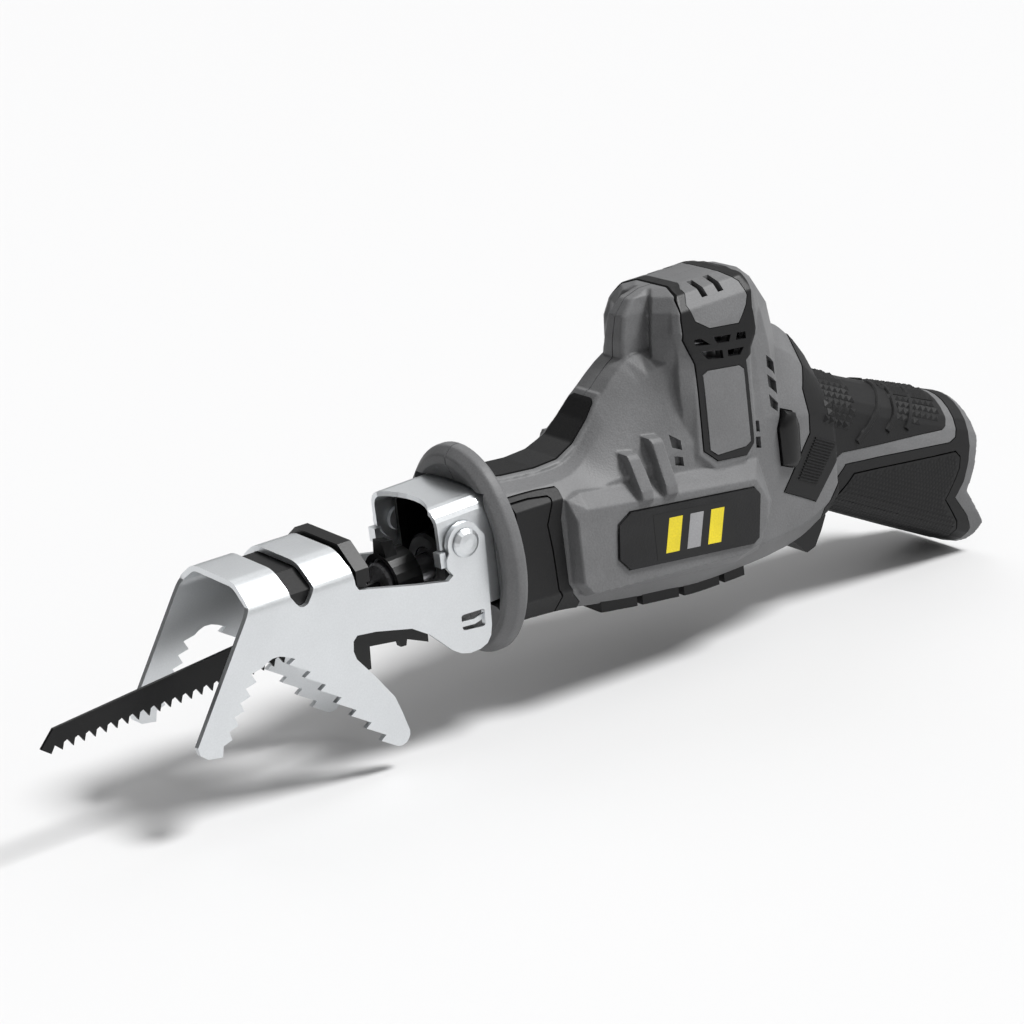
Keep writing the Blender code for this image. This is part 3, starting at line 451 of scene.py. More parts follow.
def heel_form():
    """The tip at the handle's lower rear end."""
    x, z = HEEL
    outline = [(x - 24, z + 12), (x - 16, z + 5.2), (x - 5, z + 0.3), (x + 3.5, z), (x + 6, z + 4),
               (x + 1.6, z + 14)]
    return prism(outline, -HEEL_HALF_WIDTH, HEEL_HALF_WIDTH)


def bulge_form(side):
    """Raised panel on the body's side, with sloping edges."""
    face = [(36.2, 11.9), (31.6, 8.0), (31.6, -14.6), (35.4, -19.0), (102.0, -16.4), (110.5, -13.6),
            (115.0, -6.0), (116.5, 2.0), (112.0, 11.0)]
    foot = [(36.6, 17.2), (31.0, 15.2), (30.3, -15.4), (34.6, -21.0), (102.6, -20.4), (113.2, -17.6),
            (118.6, -10.0), (121.8, 0.0), (117.0, 17.2)]
    rings = []
    for outline, y in ((foot, 18.0), (foot, 24.2), (face, BULGE_FACE)):
        rings.append([(x, side * y, sloped(x, z)) for x, z in outline])
    return loft(rings)


def rib_form(side, top_x, top_z, foot_x, foot_z):
    """Wedge rib that stands off the body's side and runs down to the raised panel's edge."""
    rings = []
    for shift, fall in ((-2.6, 0.4), (2.6, -0.4)):
        profile = [(15.0, top_z + 1.2), (23.8, top_z + 0.9), (25.2, top_z - 0.6), (30.2, foot_z + 3.6),
                   (30.5, foot_z + 0.4), (28.0, foot_z - 1.8), (15.0, foot_z - 1.8)]
        rings.append([(top_x + shift + (foot_x - top_x) * (top_z - z) / (top_z - foot_z), side * y, z + fall)
                      for y, z in profile])
    return loft(rings)


# z, front foot, front edge, rear edge, rear foot, half width at the edge
SIDE_PANEL = (
    (3.6, 98.0, 100.0, 108.0, 110.0, 24.2),
    (6.6, 94.4, 97.2, 112.6, 115.2, 25.0),
    (14.0, 87.0, 90.2, 116.8, 119.4, 25.1),
    (36.0, 86.6, 91.6, 117.4, 120.0, 24.3),
    (45.5, 87.6, 93.2, 118.4, 121.6, 23.6),
    (50.0, 88.4, 92.4, 122.0, 125.4, 23.0),
    (57.9, 88.0, 90.0, 124.4, 128.4, 21.6),
    (64.5, 90.0, 91.6, 125.4, 129.4, 19.4),
    (69.4, 93.0, 94.4, 124.0, 127.0, 15.1),
    (71.1, 97.0, 98.0, 120.0, 121.6, 9.6),
)


def side_panel_form(side):
    """Raised panel with chamfered edges on the tower's side."""
    rings = []
    for z, foot_a, edge_a, edge_b, foot_b, width in SIDE_PANEL:
        rings.append([(foot_a, 0.0, z), (foot_a, side * (width - 2.6), z), (edge_a, side * width, z),
                      (edge_b, side * width, z), (foot_b, side * (width - 2.6), z), (foot_b, 0.0, z)])
    return loft(rings)


def pad_lip_form():
    """Raised edge round the thumb pad on the neck."""
    line = [(8.0, 26.6, 10.4), (16.0, 24.8, 10.4), (30.0, 23.2, 10.6), (40.0, 23.5, 10.4), (48.0, 26.7, 9.6),
            (55.0, 32.7, 8.8), (60.0, 38.0, 8.0), (62.8, 40.6, 7.0)]
    rings = []
    for x, z, half in line:
        rings.append([(x, -half - 0.4, z - 3.0), (x, -half, z + 0.3), (x, -half + 1.2, z + 0.9),
                      (x, half - 1.2, z + 0.9), (x, half, z + 0.3), (x, half + 0.4, z - 3.0)])
    return loft(rings)


END_CUT = [
    (300.0, 60.0), (231.0, 60.0), (231.0, -24.0), (229.4, -27.2), (226.8, -34.0), (222.6, -42.3),
    (231.8, -58.0), (231.6, -60.6), (235.0, -75.0), (300.0, -75.0),
]


def outside():
    """The whole outside of the closed shell."""
    forms = [body_form(), tower_form(), handle_form(), guard_form(), heel_form(), pad_lip_form()]
    for _, side in SIDES:
        forms.append(bulge_form(side))
        forms.append(rib_form(side, 61.3, 22.0, 61.7, 7.2))
        forms.append(rib_form(side, 72.1, 24.8, 72.6, 6.0))
    shell = union(forms)
    for _, side in SIDES:
        boolean(shell, side_panel_form(side), "UNION")
    boolean(shell, prism(END_CUT, -60, 60), "DIFFERENCE")
    dish = loft([guard_ring(-1.0, 0.85), guard_ring(0.5, 0.83), guard_ring(2.4, 0.7)])
    boolean(shell, dish, "DIFFERENCE")
    return soften(shell)


OUTSIDE = outside()
LEVELS = {}


def level(distance):
    """The outside moved in or out by a distance, made once."""
    if distance not in LEVELS:
        LEVELS[distance] = grown(OUTSIDE, distance)
        LEVELS[distance].hide_render = True
    return LEVELS[distance]


def skin(form, low, high):
    """The part of a form that lies between two levels of the outside."""
    boolean(form, level(high), "INTERSECT", keep=True)
    return boolean(form, level(low), "DIFFERENCE", keep=True)


# --- outlines of the covers, in side view ------------------------------------------------------------------

NECK = [
    (8.4, 21.6), (22.8, 20.4), (30.6, 19.4), (31.0, 18.4), (28.6, 9.0), (28.8, -15.0), (31.4, -20.0),
    (36.0, -25.4), (36.0, -34.0), (8.4, -34.0),
]
NECK_INNER = [
    (9.8, 20.0), (18.0, 19.4), (25.6, 18.2), (26.2, 17.4), (22.8, 9.0), (23.8, -0.6), (24.4, -15.6),
    (26.6, -19.0), (26.2, -26.0), (27.0, -31.0), (9.8, -31.0),
]
FRAME = [
    (93.2, 46.6), (92.2, 15.0), (98.1, 9.6), (111.5, 7.8), (115.2, 11.2), (115.8, 42.0), (118.6, 43.6),
    (122.6, 51.6), (122.8, 59.0), (125.6, 67.4), (125.6, 80.0), (97.0, 80.0), (96.8, 71.8), (93.6, 68.4),
    (91.6, 62.4), (90.2, 55.8),
]
FRAME_PANEL = [
    (95.6, 41.8), (98.2, 42.8), (112.3, 40.8), (114.0, 39.2), (113.4, 12.4), (111.0, 11.2), (98.0, 11.9),
    (94.9, 14.6),
]
CAP = [
    (102.2, 82.0), (102.2, 71.8), (99.0, 70.4), (96.2, 66.3), (97.4, 60.6), (102.5, 57.0), (115.5, 55.4),
    (120.6, 60.6), (122.2, 63.4), (121.8, 68.0), (118.4, 71.6), (118.4, 82.0),
]
VENTS = [
    [(94.6, 54.8), (97.6, 54.6), (101.4, 51.4), (94.8, 52.6)],
    [(102.9, 53.6), (111.0, 52.4), (109.6, 50.2), (104.5, 51.0)],
    [(113.9, 52.3), (117.6, 51.8), (117.3, 49.3), (112.7, 49.9)],
    [(96.4, 50.2), (106.0, 48.2), (105.9, 45.3), (99.0, 46.7)],
    [(108.3, 47.6), (115.7, 46.7), (113.5, 44.4), (108.1, 45.3)],
]
SIDE_SLOTS = [
    [(117.4, 18.5), (119.8, 17.8), (119.8, 13.6), (117.4, 14.1)],
    [(117.4, 12.3), (119.8, 11.8), (119.8, 7.4), (117.4, 7.8)],
    [(80.1, 24.0), (84.0, 21.0), (83.6, 17.7), (79.9, 19.4)],
    [(79.9, 16.5), (83.6, 15.1), (83.8, 11.6), (80.0, 12.8)],
]
REAR_RECESSES = [
    [(127.4, 40.0), (132.5, 35.4), (132.2, 30.8), (127.1, 35.7)],
    [(126.8, 32.9), (132.3, 28.2), (131.5, 23.8), (126.7, 28.5)],
    [(126.4, 25.7), (130.8, 20.9), (129.6, 18.1), (126.6, 20.9)],
]
SADDLE = [
    (150.0, 40.0), (149.4, 28.0), (145.3, 21.4), (144.4, 5.3), (129.0, -12.4), (138.4, -17.6),
    (144.6, -21.2), (157.8, -8.6), (160.7, -7.3), (179.4, -9.8), (197.8, -12.2), (213.3, -14.7),
    (215.6, -14.1), (217.3, -12.2), (218.6, -8.0), (219.6, -4.5), (223.0, 10.0), (200.0, 30.0),
]
LOWER = [
    (150.2, -26.0), (162.2, -12.9), (179.0, -15.0), (196.8, -17.7), (215.4, -20.7), (219.4, -19.8),
    (221.2, -16.7), (222.5, -11.6), (223.3, -7.2), (224.4, 0.0), (226.0, 10.0), (233.0, 8.0),
    (230.0, -4.0), (228.8, -10.7), (227.8, -15.0), (226.7, -19.7), (225.4, -25.2), (223.2, -31.5),
    (220.5, -37.7), (216.1, -43.2), (223.2, -53.3), (226.0, -59.7), (224.0, -70.0), (160.0, -70.0),
    (154.0, -34.0),
]
LOWER_INNER = [
    (158.2, -26.3), (166.0, -17.6), (178.7, -19.1), (217.6, -24.6), (219.6, -27.2), (218.7, -31.6),
    (211.3, -42.5), (218.6, -54.2), (219.6, -57.9), (217.0, -70.0), (166.0, -70.0), (160.0, -34.0),
]
LABEL = [
    (53.8, 8.3), (109.9, 8.3), (112.2, 5.6), (109.9, -10.7), (107.3, -12.6), (51.1, -12.6), (46.9, -8.0),
    (48.2, 4.4),
]
LABEL_SLOPED = [(x, sloped(x, z)) for x, z in LABEL]
LOCK_SHAPE = [
    (-2.0, 11.4), (3.2, 9.0), (4.6, 4.0), (4.2, -8.6), (1.0, -11.4), (-4.4, -9.0), (-4.8, 5.0),
]
BUMPER_SPANS = ((46.0, 62.0), (64.5, 81.0), (83.5, 100.0), (102.5, 112.0))
PAD = [
    (9.4, -8.0), (40.0, -8.4), (56.0, -7.0), (59.6, -6.2), (60.6, -4.6), (60.6, 4.6), (59.6, 6.2),
    (56.0, 7.0), (40.0, 8.4), (9.4, 8.0),
]
FAR = 60.0


def lock_outline(grow):
    return [(LOCK[0] + x, LOCK[1] + z) for x, z in offset(LOCK_SHAPE, grow)]


def both_sides(outline, inner=5.0):
    """Prisms of a side outline on both flanks of the tool."""
    return [prism(outline, *sorted((side * inner, side * FAR))) for _, side in SIDES]


def pocket_forms():
    """Where the covers sit, a hair wider than they are, so that a dark line shows round each."""
    gap = COVER_GAP
    forms = both_sides(offset(NECK, gap), 11.0)
    forms.append(prism(offset(FRAME, gap), -FAR, FAR))
    forms.append(prism(offset(SADDLE, gap), -FAR, FAR))
    forms += both_sides(offset(LOWER, gap), 1.0)
    forms.append(prism_z(offset(PAD, gap), 15.0, 60.0))
    return forms


def recess_forms():
    """Blind slots behind the tower and on the body's side."""
    forms = []
    for outline in REAR_RECESSES + SIDE_SLOTS:
        forms += both_sides(outline, 8.0)
    return forms


def hollow():
    """The space inside the shell, with a post left round each screw."""
    mouth = block((-1.0, -19.7, -16.0), (8.0, 19.7, 26.6))
    inside = union([body_form(WALL), tower_form(WALL), handle_form(WALL, 114.0), mouth])
    boolean(inside, gather([rod(-35, 35, SCREW_POST, x, z) for x, z in SCREWS]), "DIFFERENCE")
    return inside


def opening_forms():
    """Holes right through: trigger, lock bar, vents and the slots in the tower's cap."""
    forms = [block((138.4, -8.5, -60.0), (163.6, 8.5, -24.0)), prism(lock_outline(0.45), -40, 40)]
    for outline in VENTS:
        forms += both_sides(offset(outline, 0.5))
    for x0, x1 in ((103.4, 107.2), (110.8, 114.6)):
        forms += [block((x0, side * 12.6 - 5.0, 60.0), (x1, side * 12.6 + 5.0, 90.0)) for _, side in SIDES]
    return forms


def build_shell():
    """Two halves with pockets for the covers, recesses, a seam groove, openings and screw holes."""
    shell = copy_of(OUTSIDE)
    pocket = union(pocket_forms())
    boolean(pocket, level(POCKET_DEPTH), "DIFFERENCE", keep=True)
    boolean(shell, pocket, "DIFFERENCE")
    recess = gather(recess_forms())
    boolean(recess, level(RECESS_DEPTH), "DIFFERENCE", keep=True)
    boolean(shell, recess, "DIFFERENCE")
    boolean(shell, gather([prism(offset(LABEL_SLOPED, 0.4), *sorted((side * (BULGE_FACE - 0.75), side * 40)))
                           for _, side in SIDES]), "DIFFERENCE")
    seam = block((-50, -SEAM_HALF_WIDTH, -120), (320, SEAM_HALF_WIDTH, 120))
    boolean(seam, level(SEAM_DEPTH), "DIFFERENCE", keep=True)
    boolean(shell, seam, "DIFFERENCE")
    boolean(shell, hollow(), "DIFFERENCE")
    for form in opening_forms():
        boolean(shell, form, "DIFFERENCE")
    bores = [rod(-14.0, 50.0, SCREW_BORE, x, z) for x, z in SCREWS]
    heads = [rod(12.9, 50.0, SCREW_HEAD, x, z) for x, z in SCREWS]
    for form in (gather(bores), gather(heads)):
        boolean(shell, form, "DIFFERENCE")
    for name, side in SIDES:
        half = copy_of(shell)
        near, far = sorted((side * SPLIT, -side * 90))
        away = block((-50, near, -120), (320, far, 120))
        boolean(half, away, "DIFFERENCE")
        finish_piece(half, f"shell_{name}", "shell", "housing", f"housing_{name}")
    drop(shell)


def build_skins():
    """Covers that follow the outside, each a little proud of it by the height given to skin."""
    low = COVER_FOOT
    for name, side in SIDES:
        y0, y1 = sorted((side * 11.2, side * FAR))
        border = prism(NECK, y0, y1)
        boolean(border, prism(offset(NECK_INNER, COVER_GROOVE), -FAR, FAR), "DIFFERENCE")
        skin(border, low, 0.3)
        inner = skin(prism(offset(NECK_INNER, -COVER_GROOVE), y0, y1), low, 0.3)
        finish_piece(gather([border, inner]), f"neck_cover_{name}", "rubber", "housing", f"neck_grip_{name}")

        y0, y1 = sorted((side * 0.05, side * FAR))
        rim = prism(FRAME, y0, y1)
        for outline in [offset(FRAME_PANEL, COVER_GROOVE), offset(CAP, COVER_GROOVE)] + VENTS:
            boolean(rim, prism(outline, -FAR, FAR), "DIFFERENCE")
        skin(rim, low, 0.35)
        finish_piece(rim, f"vent_surround_{name}", "frame", "housing", f"vent_frame_{name}")
        panel = skin(prism(FRAME_PANEL, y0, y1), low, 0.6)
        finish_piece(panel, f"vent_panel_{name}", "shell", "housing")
        cap = prism(CAP, y0, y1)
        for x0, x1 in ((104.0, 106.6), (111.4, 114.0)):
            boolean(cap, block((x0, side * 13.6 - 4.0, 50), (x1, side * 13.6 + 4.0, 90)), "DIFFERENCE")
        skin(cap, low, 0.3)
        finish_piece(cap, f"tower_cap_{name}", "shell", "housing")

        border = prism(LOWER, y0, y1)
        boolean(border, prism(offset(LOWER_INNER, COVER_GROOVE), -FAR, FAR), "DIFFERENCE")
        skin(border, low, 0.2)
        inner = skin(prism(offset(LOWER_INNER, -COVER_GROOVE), y0, y1), low, 0.4)
        finish_piece(gather([border, inner]), f"grip_cover_{name}", "rubber", "housing", f"grip_panel_{name}")
    saddle = skin(prism(SADDLE, -FAR, FAR), low, 0.3)
    finish_piece(saddle, "saddle_cover", "rubber", "housing", "grip_saddle")
    pad = skin(prism_z(PAD, 15.0, 60.0), low, 0.5)
    finish_piece(pad, "thumb_cover", "rubber", "housing", "thumb_pad")
    bumps = [block((x0, -17.0, -60.0), (x1, 17.0, -20.0)) for x0, x1 in BUMPER_SPANS]
    bumper = gather(bumps)
    boolean(bumper, level(3.4), "INTERSECT", keep=True)
    boolean(bumper, level(0.0), "DIFFERENCE", keep=True)
    finish_piece(bumper, "bumper_segments", "rubber", "housing", "bumper_strip")


def surface_tree(obj):
    """Ray-casting tree of a mesh."""
    bm = bmesh.new()
    bm.from_mesh(obj.data)
    tree = BVHTree.FromBMesh(bm)
    bm.free()
    return tree


def inside_outline(outline, x, z):
    """Whether a side-view point lies within an outline."""
    found = False
    for (ax, az), (bx, bz) in zip(outline, outline[1:] + outline[:1]):
        if (az > z) != (bz > z) and x < ax + (bx - ax) * (z - az) / (bz - az):
            found = not found
    return found


def on_grip(tree, s, turn, side):
    """Point and normal where a ray square to the handle's axis meets its outside; turn 0 is sideways."""
    centre = HANDLE_START + HANDLE_ALONG * s
    out = Vector((0, side * math.cos(turn), 0)) + HANDLE_UP * math.sin(turn)
    hit, normal, _, _ = tree.ray_cast(centre + out * 60, -out)
    return hit, normal


def on_side(tree, x, z, side):
    """Point and normal where a sideways ray meets the outside."""
    hit, normal, _, _ = tree.ray_cast(Vector((x, side * 60, z)), Vector((0, -side, 0)))
    return hit, normal


def stud(point, normal, along, half, height, spin=0.0):
    """Low four-sided pyramid standing on the surface."""
    t = (along - normal * along.dot(normal)).normalized()
    b = normal.cross(t)
    t, b = t * math.cos(spin) + b * math.sin(spin), b * math.cos(spin) - t * math.sin(spin)
    bm = bmesh.new()
    corners = ((1, 1), (-1, 1), (-1, -1), (1, -1))
    low = [bm.verts.new(point - normal * 0.7 + t * u * half + b * v * half) for u, v in corners]
    mid = [bm.verts.new(v.co + normal * 0.75) for v in low]
    tip = bm.verts.new(point + normal * height)
    bm.faces.new(reversed(low))
    for i in range(4):
        j = (i + 1) % 4
        bm.faces.new((low[i], low[j], mid[j], mid[i]))
        bm.faces.new((mid[i], mid[j], tip))
    return to_object(bm)


def stud_field(tree, side, outline, pitch, half, height, spin, turns, span, lift=RUBBER_LIFT):
    """Staggered rows of studs on the handle, inside a side-view outline."""
    made = []
    rows = int((turns[1] - turns[0]) * STUD_REACH / pitch)
    for row in range(rows + 1):
        turn = turns[0] + row * pitch / STUD_REACH
        for step in range(int((span[1] - span[0]) / pitch)):
            s = span[0] + pitch * (step + 0.5 * (row % 2))
            hit, normal = on_grip(tree, s, turn, side)
            if hit and inside_outline(outline, hit.x, hit.z):
                made.append(stud(hit + normal * lift, normal, HANDLE_ALONG, half, height, spin))
    return made


def ridge(points, width, height):
    """Rounded rib along points given with their surface normals."""
    rings = []
    for i, (point, normal) in enumerate(points):
        before, after = points[max(0, i - 1)][0], points[min(len(points) - 1, i + 1)][0]
        across = normal.cross((after - before).normalized()).normalized()
        shape = ((-width / 2, -0.7), (-width / 2, 0.1), (-width * 0.28, height), (width * 0.28, height),
                 (width / 2, 0.1), (width / 2, -0.7))
        rings.append([tuple(point + across * u + normal * v) for u, v in shape])
    return loft(rings)


STAR_FRONT = [
    (153.2, 30.0), (150.4, 15.5), (149.8, 8.9), (154.6, 4.6), (165.3, 1.1), (166.9, 2.4), (170.9, 7.9),
    (173.1, 11.9), (173.2, 30.0),
]
STAR_REAR = [
    (196.4, 14.0), (195.4, 4.0), (193.2, 1.0), (192.2, -5.0), (193.4, -7.0), (211.8, -10.5),
    (214.2, -9.2), (217.0, -5.0), (218.0, 10.0),
]
RIDGED = ((146.7, 3.3), (157.3, -2.4), (145.4, -14.9), (135.9, -9.9))
WRAPS = (
    ((181.4, 86), (179.8, 66), (175.6, 42), (169.1, 16), (165.0, -4)),
    ((187.0, 86), (185.4, 64), (183.4, 40), (178.8, 18)),
    ((196.4, 86), (194.6, 70), (190.8, 42), (187.2, 18), (183.3, -6)),
)


def wrap_points(tree, wrap, side):
    """Points and normals along one wrap rib, kept clear of the saddle's edge."""
    points = []
    for (xa, ta), (xb, tb) in zip(wrap, wrap[1:]):
        for k in range(4):
            x, turn = xa + (xb - xa) * k / 4, math.radians(ta + (tb - ta) * k / 4)
            hit, normal = on_grip(tree, (x - HANDLE_START.x) / HANDLE_ALONG.x, turn, side)
            if hit and inside_outline(offset(SADDLE, -1.5), hit.x, hit.z):
                points.append((hit + normal * RUBBER_LIFT, normal))
    return points


def ridged_panel(tree, side, count=15):
    """Fine parallel ribs across the panel on the saddle's lower front."""
    front_top, rear_top, rear_low, front_low = RIDGED
    made = []
    for k in range(count):
        share = (k + 0.5) / count
        ax, az = (a + (b - a) * share for a, b in zip(front_top, front_low))
        bx, bz = (a + (b - a) * share for a, b in zip(rear_top, rear_low))
        row = [on_side(tree, ax + (bx - ax) * t, az + (bz - az) * t, side) for t in (0.02, 0.34, 0.66, 0.98)]
        made.append(ridge([(hit + normal * RUBBER_LIFT, normal) for hit, normal in row], 0.75, 0.45))
    return made


def build_grip_detail(tree):
    """Pyramid fields, wrap ribs, fine ribs and fine diamonds on the rubber of the handle."""
    for name, side in SIDES:
        made = []
        for outline in (STAR_FRONT, STAR_REAR):
            made += stud_field(tree, side, outline, 3.0, 1.5, 1.05, 0.0, (-0.4, 1.56), (0.0, 88.0))
        made += [ridge(wrap_points(tree, wrap, side), 2.6, 0.8) for wrap in WRAPS]
        made += ridged_panel(tree, side)
        finish_piece(gather(made), f"saddle_studs_{name}", "rubber", "housing")
        inner = offset(LOWER_INNER, -1.3)
        fine = stud_field(tree, side, inner, 1.75, 0.8, 0.32, math.pi / 4, (-1.2, 0.5), (4.0, 92.0), 0.4)
        finish_piece(gather(fine), f"grip_diamonds_{name}", "rubber", "housing")


def build_label_marks():
    """A plain plate with three slanted stripes, which stand for no maker."""
    blocks = [("plate", "black_plastic", [(63.0, 5.8), (98.4, 5.8), (98.4, -11.4), (63.0, -11.4)])]
    for word, finish, x in (("front", "yellow", 67.0), ("middle", "grey", 76.5), ("rear", "yellow", 86.0)):
        outline = [(x + 3.0, 3.6), (x + 9.0, 3.6), (x + 6.0, -9.2), (x, -9.2)]
        blocks.append((f"stripe_{word}", finish, outline))
    for name, side in SIDES:
        for index, (word, finish, outline) in enumerate(blocks):
            face = BULGE_FACE + LABEL_RISE
            depth = 0.05 if index == 0 else 0.09
            points = [(x, sloped(x, z)) for x, z in outline]
            piece = prism(points, *sorted((side * face, side * (face + depth))))
            finish_piece(piece, f"mark_{word}_{name}", finish, "housing")


def build_lock():
    """Faceted dome at each end of the lock bar."""
    caps = []
    for _, side in SIDES:
        rings = []
        for y, grow in ((17.0, 0.0), (24.4, 0.0), (25.6, -1.0), (26.4, -2.6)):
            rings.append([(LOCK[0] + x, side * y, LOCK[1] + z) for x, z in offset(LOCK_SHAPE, grow)])
        caps.append(loft(rings))
    bar = block((LOCK[0] - 3.0, -20.0, LOCK[1] - 4.0), (LOCK[0] + 3.0, 20.0, LOCK[1] + 4.0))
    finish_piece(union([bar] + caps), "lock_slider", "black_plastic", "lock", "lock_button")


JAW_WIDTH, JAW_SHEET, JAW_TOP, JAW_SHOULDER, JAW_CROWN = 22.0, 2.0, 25.1, 18.5, 12.6
JAW_HOLE = 3.3
JAW_PIVOT, JAW_HEEL, JAW_LEAN = (-10.8, 13.4), (-46.3, -44.3, 3.9), math.radians(2.0)


def arc(centre, radius, start, end, steps):
    """Points of an arc, in degrees, both ends included."""
    angles = [math.radians(start + (end - start) * i / steps) for i in range(steps + 1)]
    return [(centre[0] + radius * math.cos(a), centre[1] + radius * math.sin(a)) for a in angles]


def jaw_front_teeth():
    points = []
    for i in range(6):
        points += [(-112.8 + 2.8 * i, -23.3 + 4.03 * i), (-109.3 + 3.0 * i, -22.4 + 4.0 * i)]
    return points


def jaw_rear_teeth():
    points = []
    for i in range(7):
        points += [(-82.0 + 5.03 * i, -3.7 - 6.42 * i), (-84.5 + 5.07 * i, -4.9 - 6.45 * i)]
    return points


def jaw_outline():
    """Side view of the jaw: front leg, teeth of the V, rear leg with its heel, and the lug at the pivot."""
    heel_x, heel_z, heel_r = JAW_HEEL
    outline = [(-94.4, 30.0), (-95.7, 18.3), (-122.0, -20.8), (-121.5, -23.6)]
    outline += [(-119.0, -25.8), (-113.6, -26.9)]
    outline += jaw_front_teeth()
    outline += [(-92.5, -1.4), (-90.2, -0.7), (-87.6, -0.9), (-85.2, -1.9)]
    outline += jaw_rear_teeth()
    outline += arc((heel_x, heel_z), heel_r, 235, 365, 6)
    outline += [(-44.5, -36.1), (-46.5, -30.1), (-52.9, -20.4), (-59.0, -12.1), (-59.8, -9.1), (-59.3, -5.6)]
    outline += [(-57.6, -4.1), (-50.1, -5.3), (-36.2, -9.1), (-29.3, -13.8), (-21.1, -22.4), (-17.9, -24.6)]
    outline += [(-14.4, -25.7), (-10.0, -25.7), (-6.9, -24.6), (-5.1, -22.3), (-4.2, -18.5), (-3.1, 1.3)]
    outline += [(-2.7, 13.7)] + arc(JAW_PIVOT, 7.2, 55, 195, 7)
    outline += [(-18.9, 9.6), (-19.2, 6.6), (-17.2, 3.6), (-19.4, 2.2), (-31.2, 4.9), (-54.4, 11.0)]
    outline += [(-55.5, 13.0), (-56.0, 30.0)]
    return outline


def jaw_slot_outline():
    """Slot across the jaw's top, in which the liner shows."""
    front = [(-80.0, 40.0), (-80.0, 17.0), (-78.6, 14.4)]
    return front + arc((-75.8, 15.2), 2.8, 200, 340, 4) + [(-71.0, 17.0), (-71.0, 40.0)]


def leaned(obj):
    """Lean the jaw's channel a little about its front top edge."""
    pivot = Vector((-94.3, 0, JAW_TOP))
    turn = Matrix.Translation(pivot) @ Matrix.Rotation(JAW_LEAN, 4, "Y") @ Matrix.Translation(-pivot)
    obj.data.transform(turn)
    return obj


def filleted(points, reach, steps=5):
    """Closed outline with each corner rounded off."""
    made = []
    for before, corner, after in zip(points[-1:] + points[:-1], points, points[1:] + points[:1]):
        a, c, b = Vector(before), Vector(corner), Vector(after)
        start = c + (a - c).normalized() * min(reach, 0.45 * (a - c).length)
        end = c + (b - c).normalized() * min(reach, 0.45 * (b - c).length)
        for k in range(steps + 1):
            t = k / steps
            made.append(tuple(start * (1 - t) ** 2 + c * 2 * t * (1 - t) + end * t ** 2))
    return made


def jaw_window_tongue(side):
    """Strip lanced out of the window in the jaw's side."""
    rings = []
    for x, y in ((-16.6, 20.4), (-14.4, 21.0), (-11.4, 21.9), (-8.4, 21.0), (-6.2, 20.4)):
        near, far = side * (y - 0.5), side * (y + 0.5)
        rings.append([(x, near, -15.9), (x, far, -15.9), (x, far, -14.0), (x, near, -14.0)])
    return loft(rings)


def build_jaw():
    """Folded sheet: the side outline at full width, trimmed to a section with rounded bends, and hollowed."""
    jaw = prism(jaw_outline(), -JAW_WIDTH, JAW_WIDTH)
    bend = math.atan2(JAW_TOP - JAW_SHOULDER, JAW_WIDTH - JAW_CROWN)
    at_top, at_side = JAW_SHEET * math.tan(bend / 2), JAW_SHEET * math.tan((math.pi / 2 - bend) / 2)
    inner = JAW_WIDTH - JAW_SHEET
    outer_half = [(JAW_CROWN, JAW_TOP), (JAW_WIDTH, JAW_SHOULDER), (JAW_WIDTH, -90.0)]
    inner_half = [(JAW_CROWN - at_top, JAW_TOP - JAW_SHEET), (inner, JAW_SHOULDER - at_side), (inner, -80.0)]
    outside_form = leaned(prism_x(filleted(mirrored(outer_half), 3.6), -130.0, -50.0))
    front = prism([(-130, -100), (-55.0, -100), (-55.0, 100), (-130, 100)], -40, 40)
    boolean(front, outside_form, "DIFFERENCE")
    boolean(jaw, front, "DIFFERENCE")
    boolean(jaw, leaned(prism_x(filleted(mirrored(inner_half), 2.4), -130.0, -50.0)), "DIFFERENCE")
    window = [(-16.2, -11.3), (-6.4, -12.0), (-6.8, -18.2), (-16.2, -16.9)]
    cutters = [block((-55.3, -inner - 0.02, -80.0), (10.0, inner + 0.02, 60.0)),
               prism(jaw_slot_outline(), -30, 30), prism(filleted(window, 1.2), -30, 30),
               rod(-30, 30, JAW_HOLE, *JAW_PIVOT)]
    for cutter in cutters:
        boolean(jaw, cutter, "DIFFERENCE")
    for _, side in SIDES:
        y0, y1 = sorted((side * 17.2, side * 21.0))
        boolean(jaw, block((-20.9, y0, 6.9), (-18.6, y1, 12.1)), "UNION")
        boolean(jaw, jaw_window_tongue(side), "UNION")
    piece = finish_piece(jaw, "jaw_plate", "zinc", "shoe", "jaw")
    edge_round(piece, 0.35)


def edge_round(obj, width):
    bevel = obj.modifiers.new("edge", "BEVEL")
    bevel.width = width / 1000
    bevel.segments = 2
    bevel.limit_method = "ANGLE"
    bevel.angle_limit = math.radians(35)
    bevel.harden_normals = True


def carry_over():
    """Materials, and small edge rounding, for the pieces kept from the model."""
    finishes = {
        "zinc": ("shoe_bracket", "rivet_left", "rivet_right"),
        "black_plastic": ("jaw_liner", "shoe_lining", "gear_case_nose", "clamp_collar", "trigger",
                          "switch_body", "terminal_block", "motor_plate", "motor_end_cap", "motor_fan"),
        "label": ("label_panel_left", "label_panel_right"),
        "blade_steel": ("blade",),
        "rubber": ("wiper_seal",),
        "bronze": ("front_bush", "rear_bush", "contact_left", "contact_right"),
    }
    chosen = {node: finish for finish, nodes in finishes.items() for node in nodes}
    widths = {"shoe_bracket": 0.4, "jaw_liner": 0.5, "trigger": 1.2, "gear_case_nose": 0.5, "blade": 0.12}
    for name, node in frame["nodes"].items():
        if node.hide_render:
            continue
        material = MATERIALS[chosen.get(name, "steel")]
        if node.data.materials:
            for index in range(len(node.data.materials)):
                node.data.materials[index] = material
        else:
            node.data.materials.append(material)
        edge_round(node, widths.get(name, 0.15))


# --- camera, light and floor -------------------------------------------------------------------------------


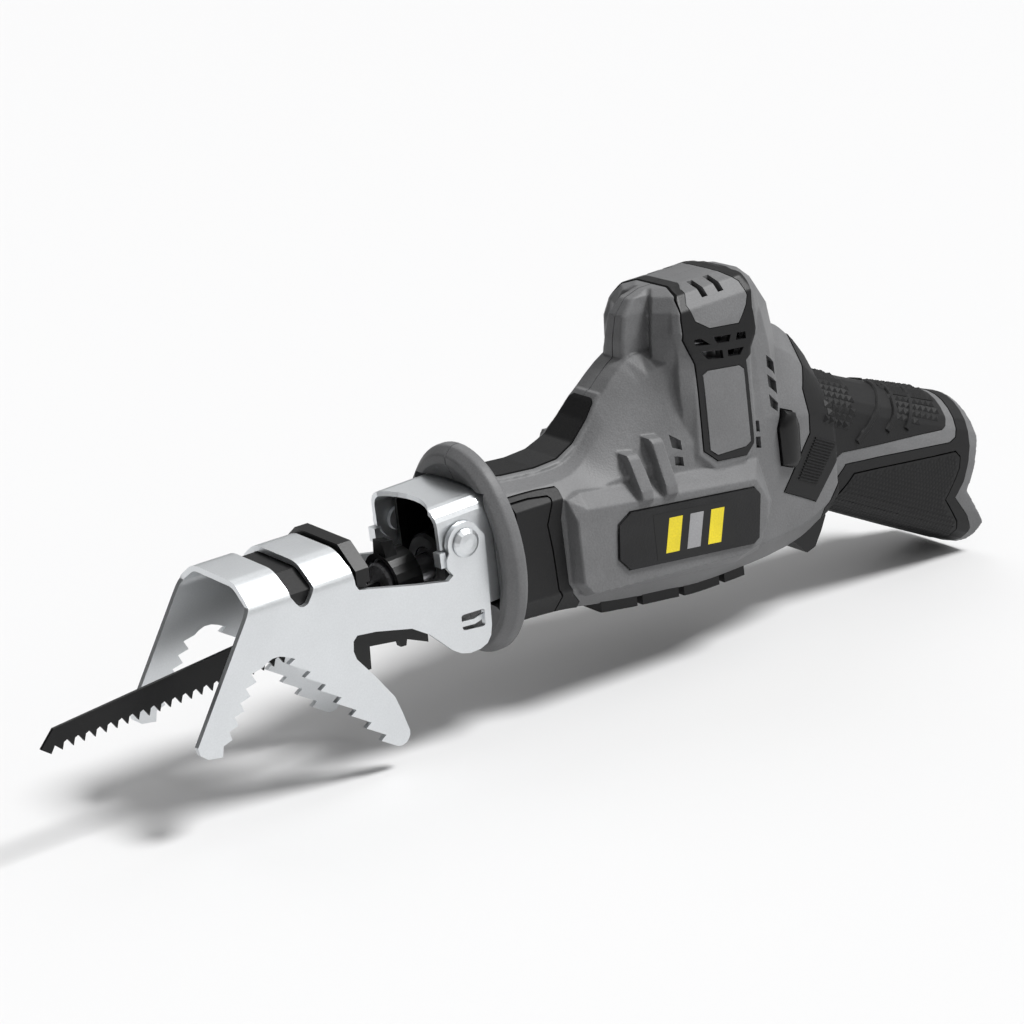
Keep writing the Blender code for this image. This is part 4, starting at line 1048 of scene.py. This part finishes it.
def build_stage():
    bm = bmesh.new()
    bmesh.ops.create_grid(bm, x_segments=24, y_segments=24, size=9.0)
    floor = to_object(bm, "floor")
    floor.data.materials.append(finish_material("floor_pale", (0.74, 0.74, 0.742), 0.9, bump=0.0,
                                                variation=0.0, specular=0.1, speckle=0.004))
    floor.location.z = -0.0002
    world = bpy.data.worlds.new("studio")
    bpy.context.scene.world = world
    world.use_nodes = True
    nodes, links = world.node_tree.nodes, world.node_tree.links
    coords = nodes.new("ShaderNodeTexCoord")
    facing = nodes.new("ShaderNodeVectorMath")
    sky = nodes.new("ShaderNodeValToRGB")
    facing.operation = "DOT_PRODUCT"
    facing.inputs[1].default_value = (TOOL.to_3x3() @ Vector((0.55, -0.35, 0.76))).normalized()
    dark, bright = sky.color_ramp.elements
    dark.position, bright.position = 0.0, 0.95
    dark.color, bright.color = (0.07, 0.07, 0.072, 1), (1.2, 1.2, 1.2, 1)
    links.new(coords.outputs["Generated"], facing.inputs[0])
    links.new(facing.outputs["Value"], sky.inputs["Fac"])
    rays, pick = nodes.new("ShaderNodeLightPath"), nodes.new("ShaderNodeMix")
    pick.data_type = "RGBA"
    pick.inputs["B"].default_value = (1.9, 1.9, 1.9, 1)
    links.new(rays.outputs["Is Camera Ray"], pick.inputs["Factor"])
    links.new(sky.outputs["Color"], pick.inputs["A"])
    links.new(pick.outputs["Result"], nodes["Background"].inputs["Color"])
    nodes["Background"].inputs["Strength"].default_value = 0.5
    suns = (("key", (0.62, -0.48, 1.1), 3.3, 18), ("rim", (0.3, 0.9, 0.9), 0.4, 40))
    for name, direction, power, angle in suns:
        light = bpy.data.lights.new(name, "SUN")
        light.energy, light.angle = power, math.radians(angle)
        lamp = bpy.data.objects.new(name, light)
        lamp.rotation_euler = (TOOL.to_3x3() @ Vector(direction)).to_track_quat("Z", "Y").to_euler()
        bpy.context.scene.collection.objects.link(lamp)


def build_camera():
    """The viewpoint, given in the tool's frame: where it stands, and its right and upward directions."""
    place = Vector((-519.0, -780.5, 365.1))
    right, up = Vector((0.790, -0.6025, -0.1135)), Vector((0.299, 0.217, 0.929))
    back = right.cross(up).normalized()
    up = back.cross(right).normalized()
    pose = Matrix((right.normalized(), up, back)).transposed().to_4x4()
    turn = TOOL.to_3x3().normalized().to_4x4()
    camera = bpy.data.cameras.new("view")
    camera.lens, camera.sensor_width, camera.clip_end = 103.14, 36.0, 20.0
    holder = bpy.data.objects.new("view", camera)
    bpy.context.scene.collection.objects.link(holder)
    holder.matrix_world = Matrix.Translation(TOOL @ place) @ turn @ pose
    bpy.context.scene.camera = holder


build_camera()
build_stage()
build_shell()
build_skins()
build_grip_detail(surface_tree(OUTSIDE))
build_label_marks()
build_lock()
build_jaw()
for made in LEVELS.values():
    drop(made)
drop(OUTSIDE)
carry_over()
bpy.context.scene.view_settings.view_transform = "Standard"

bpy.context.view_layer.update()
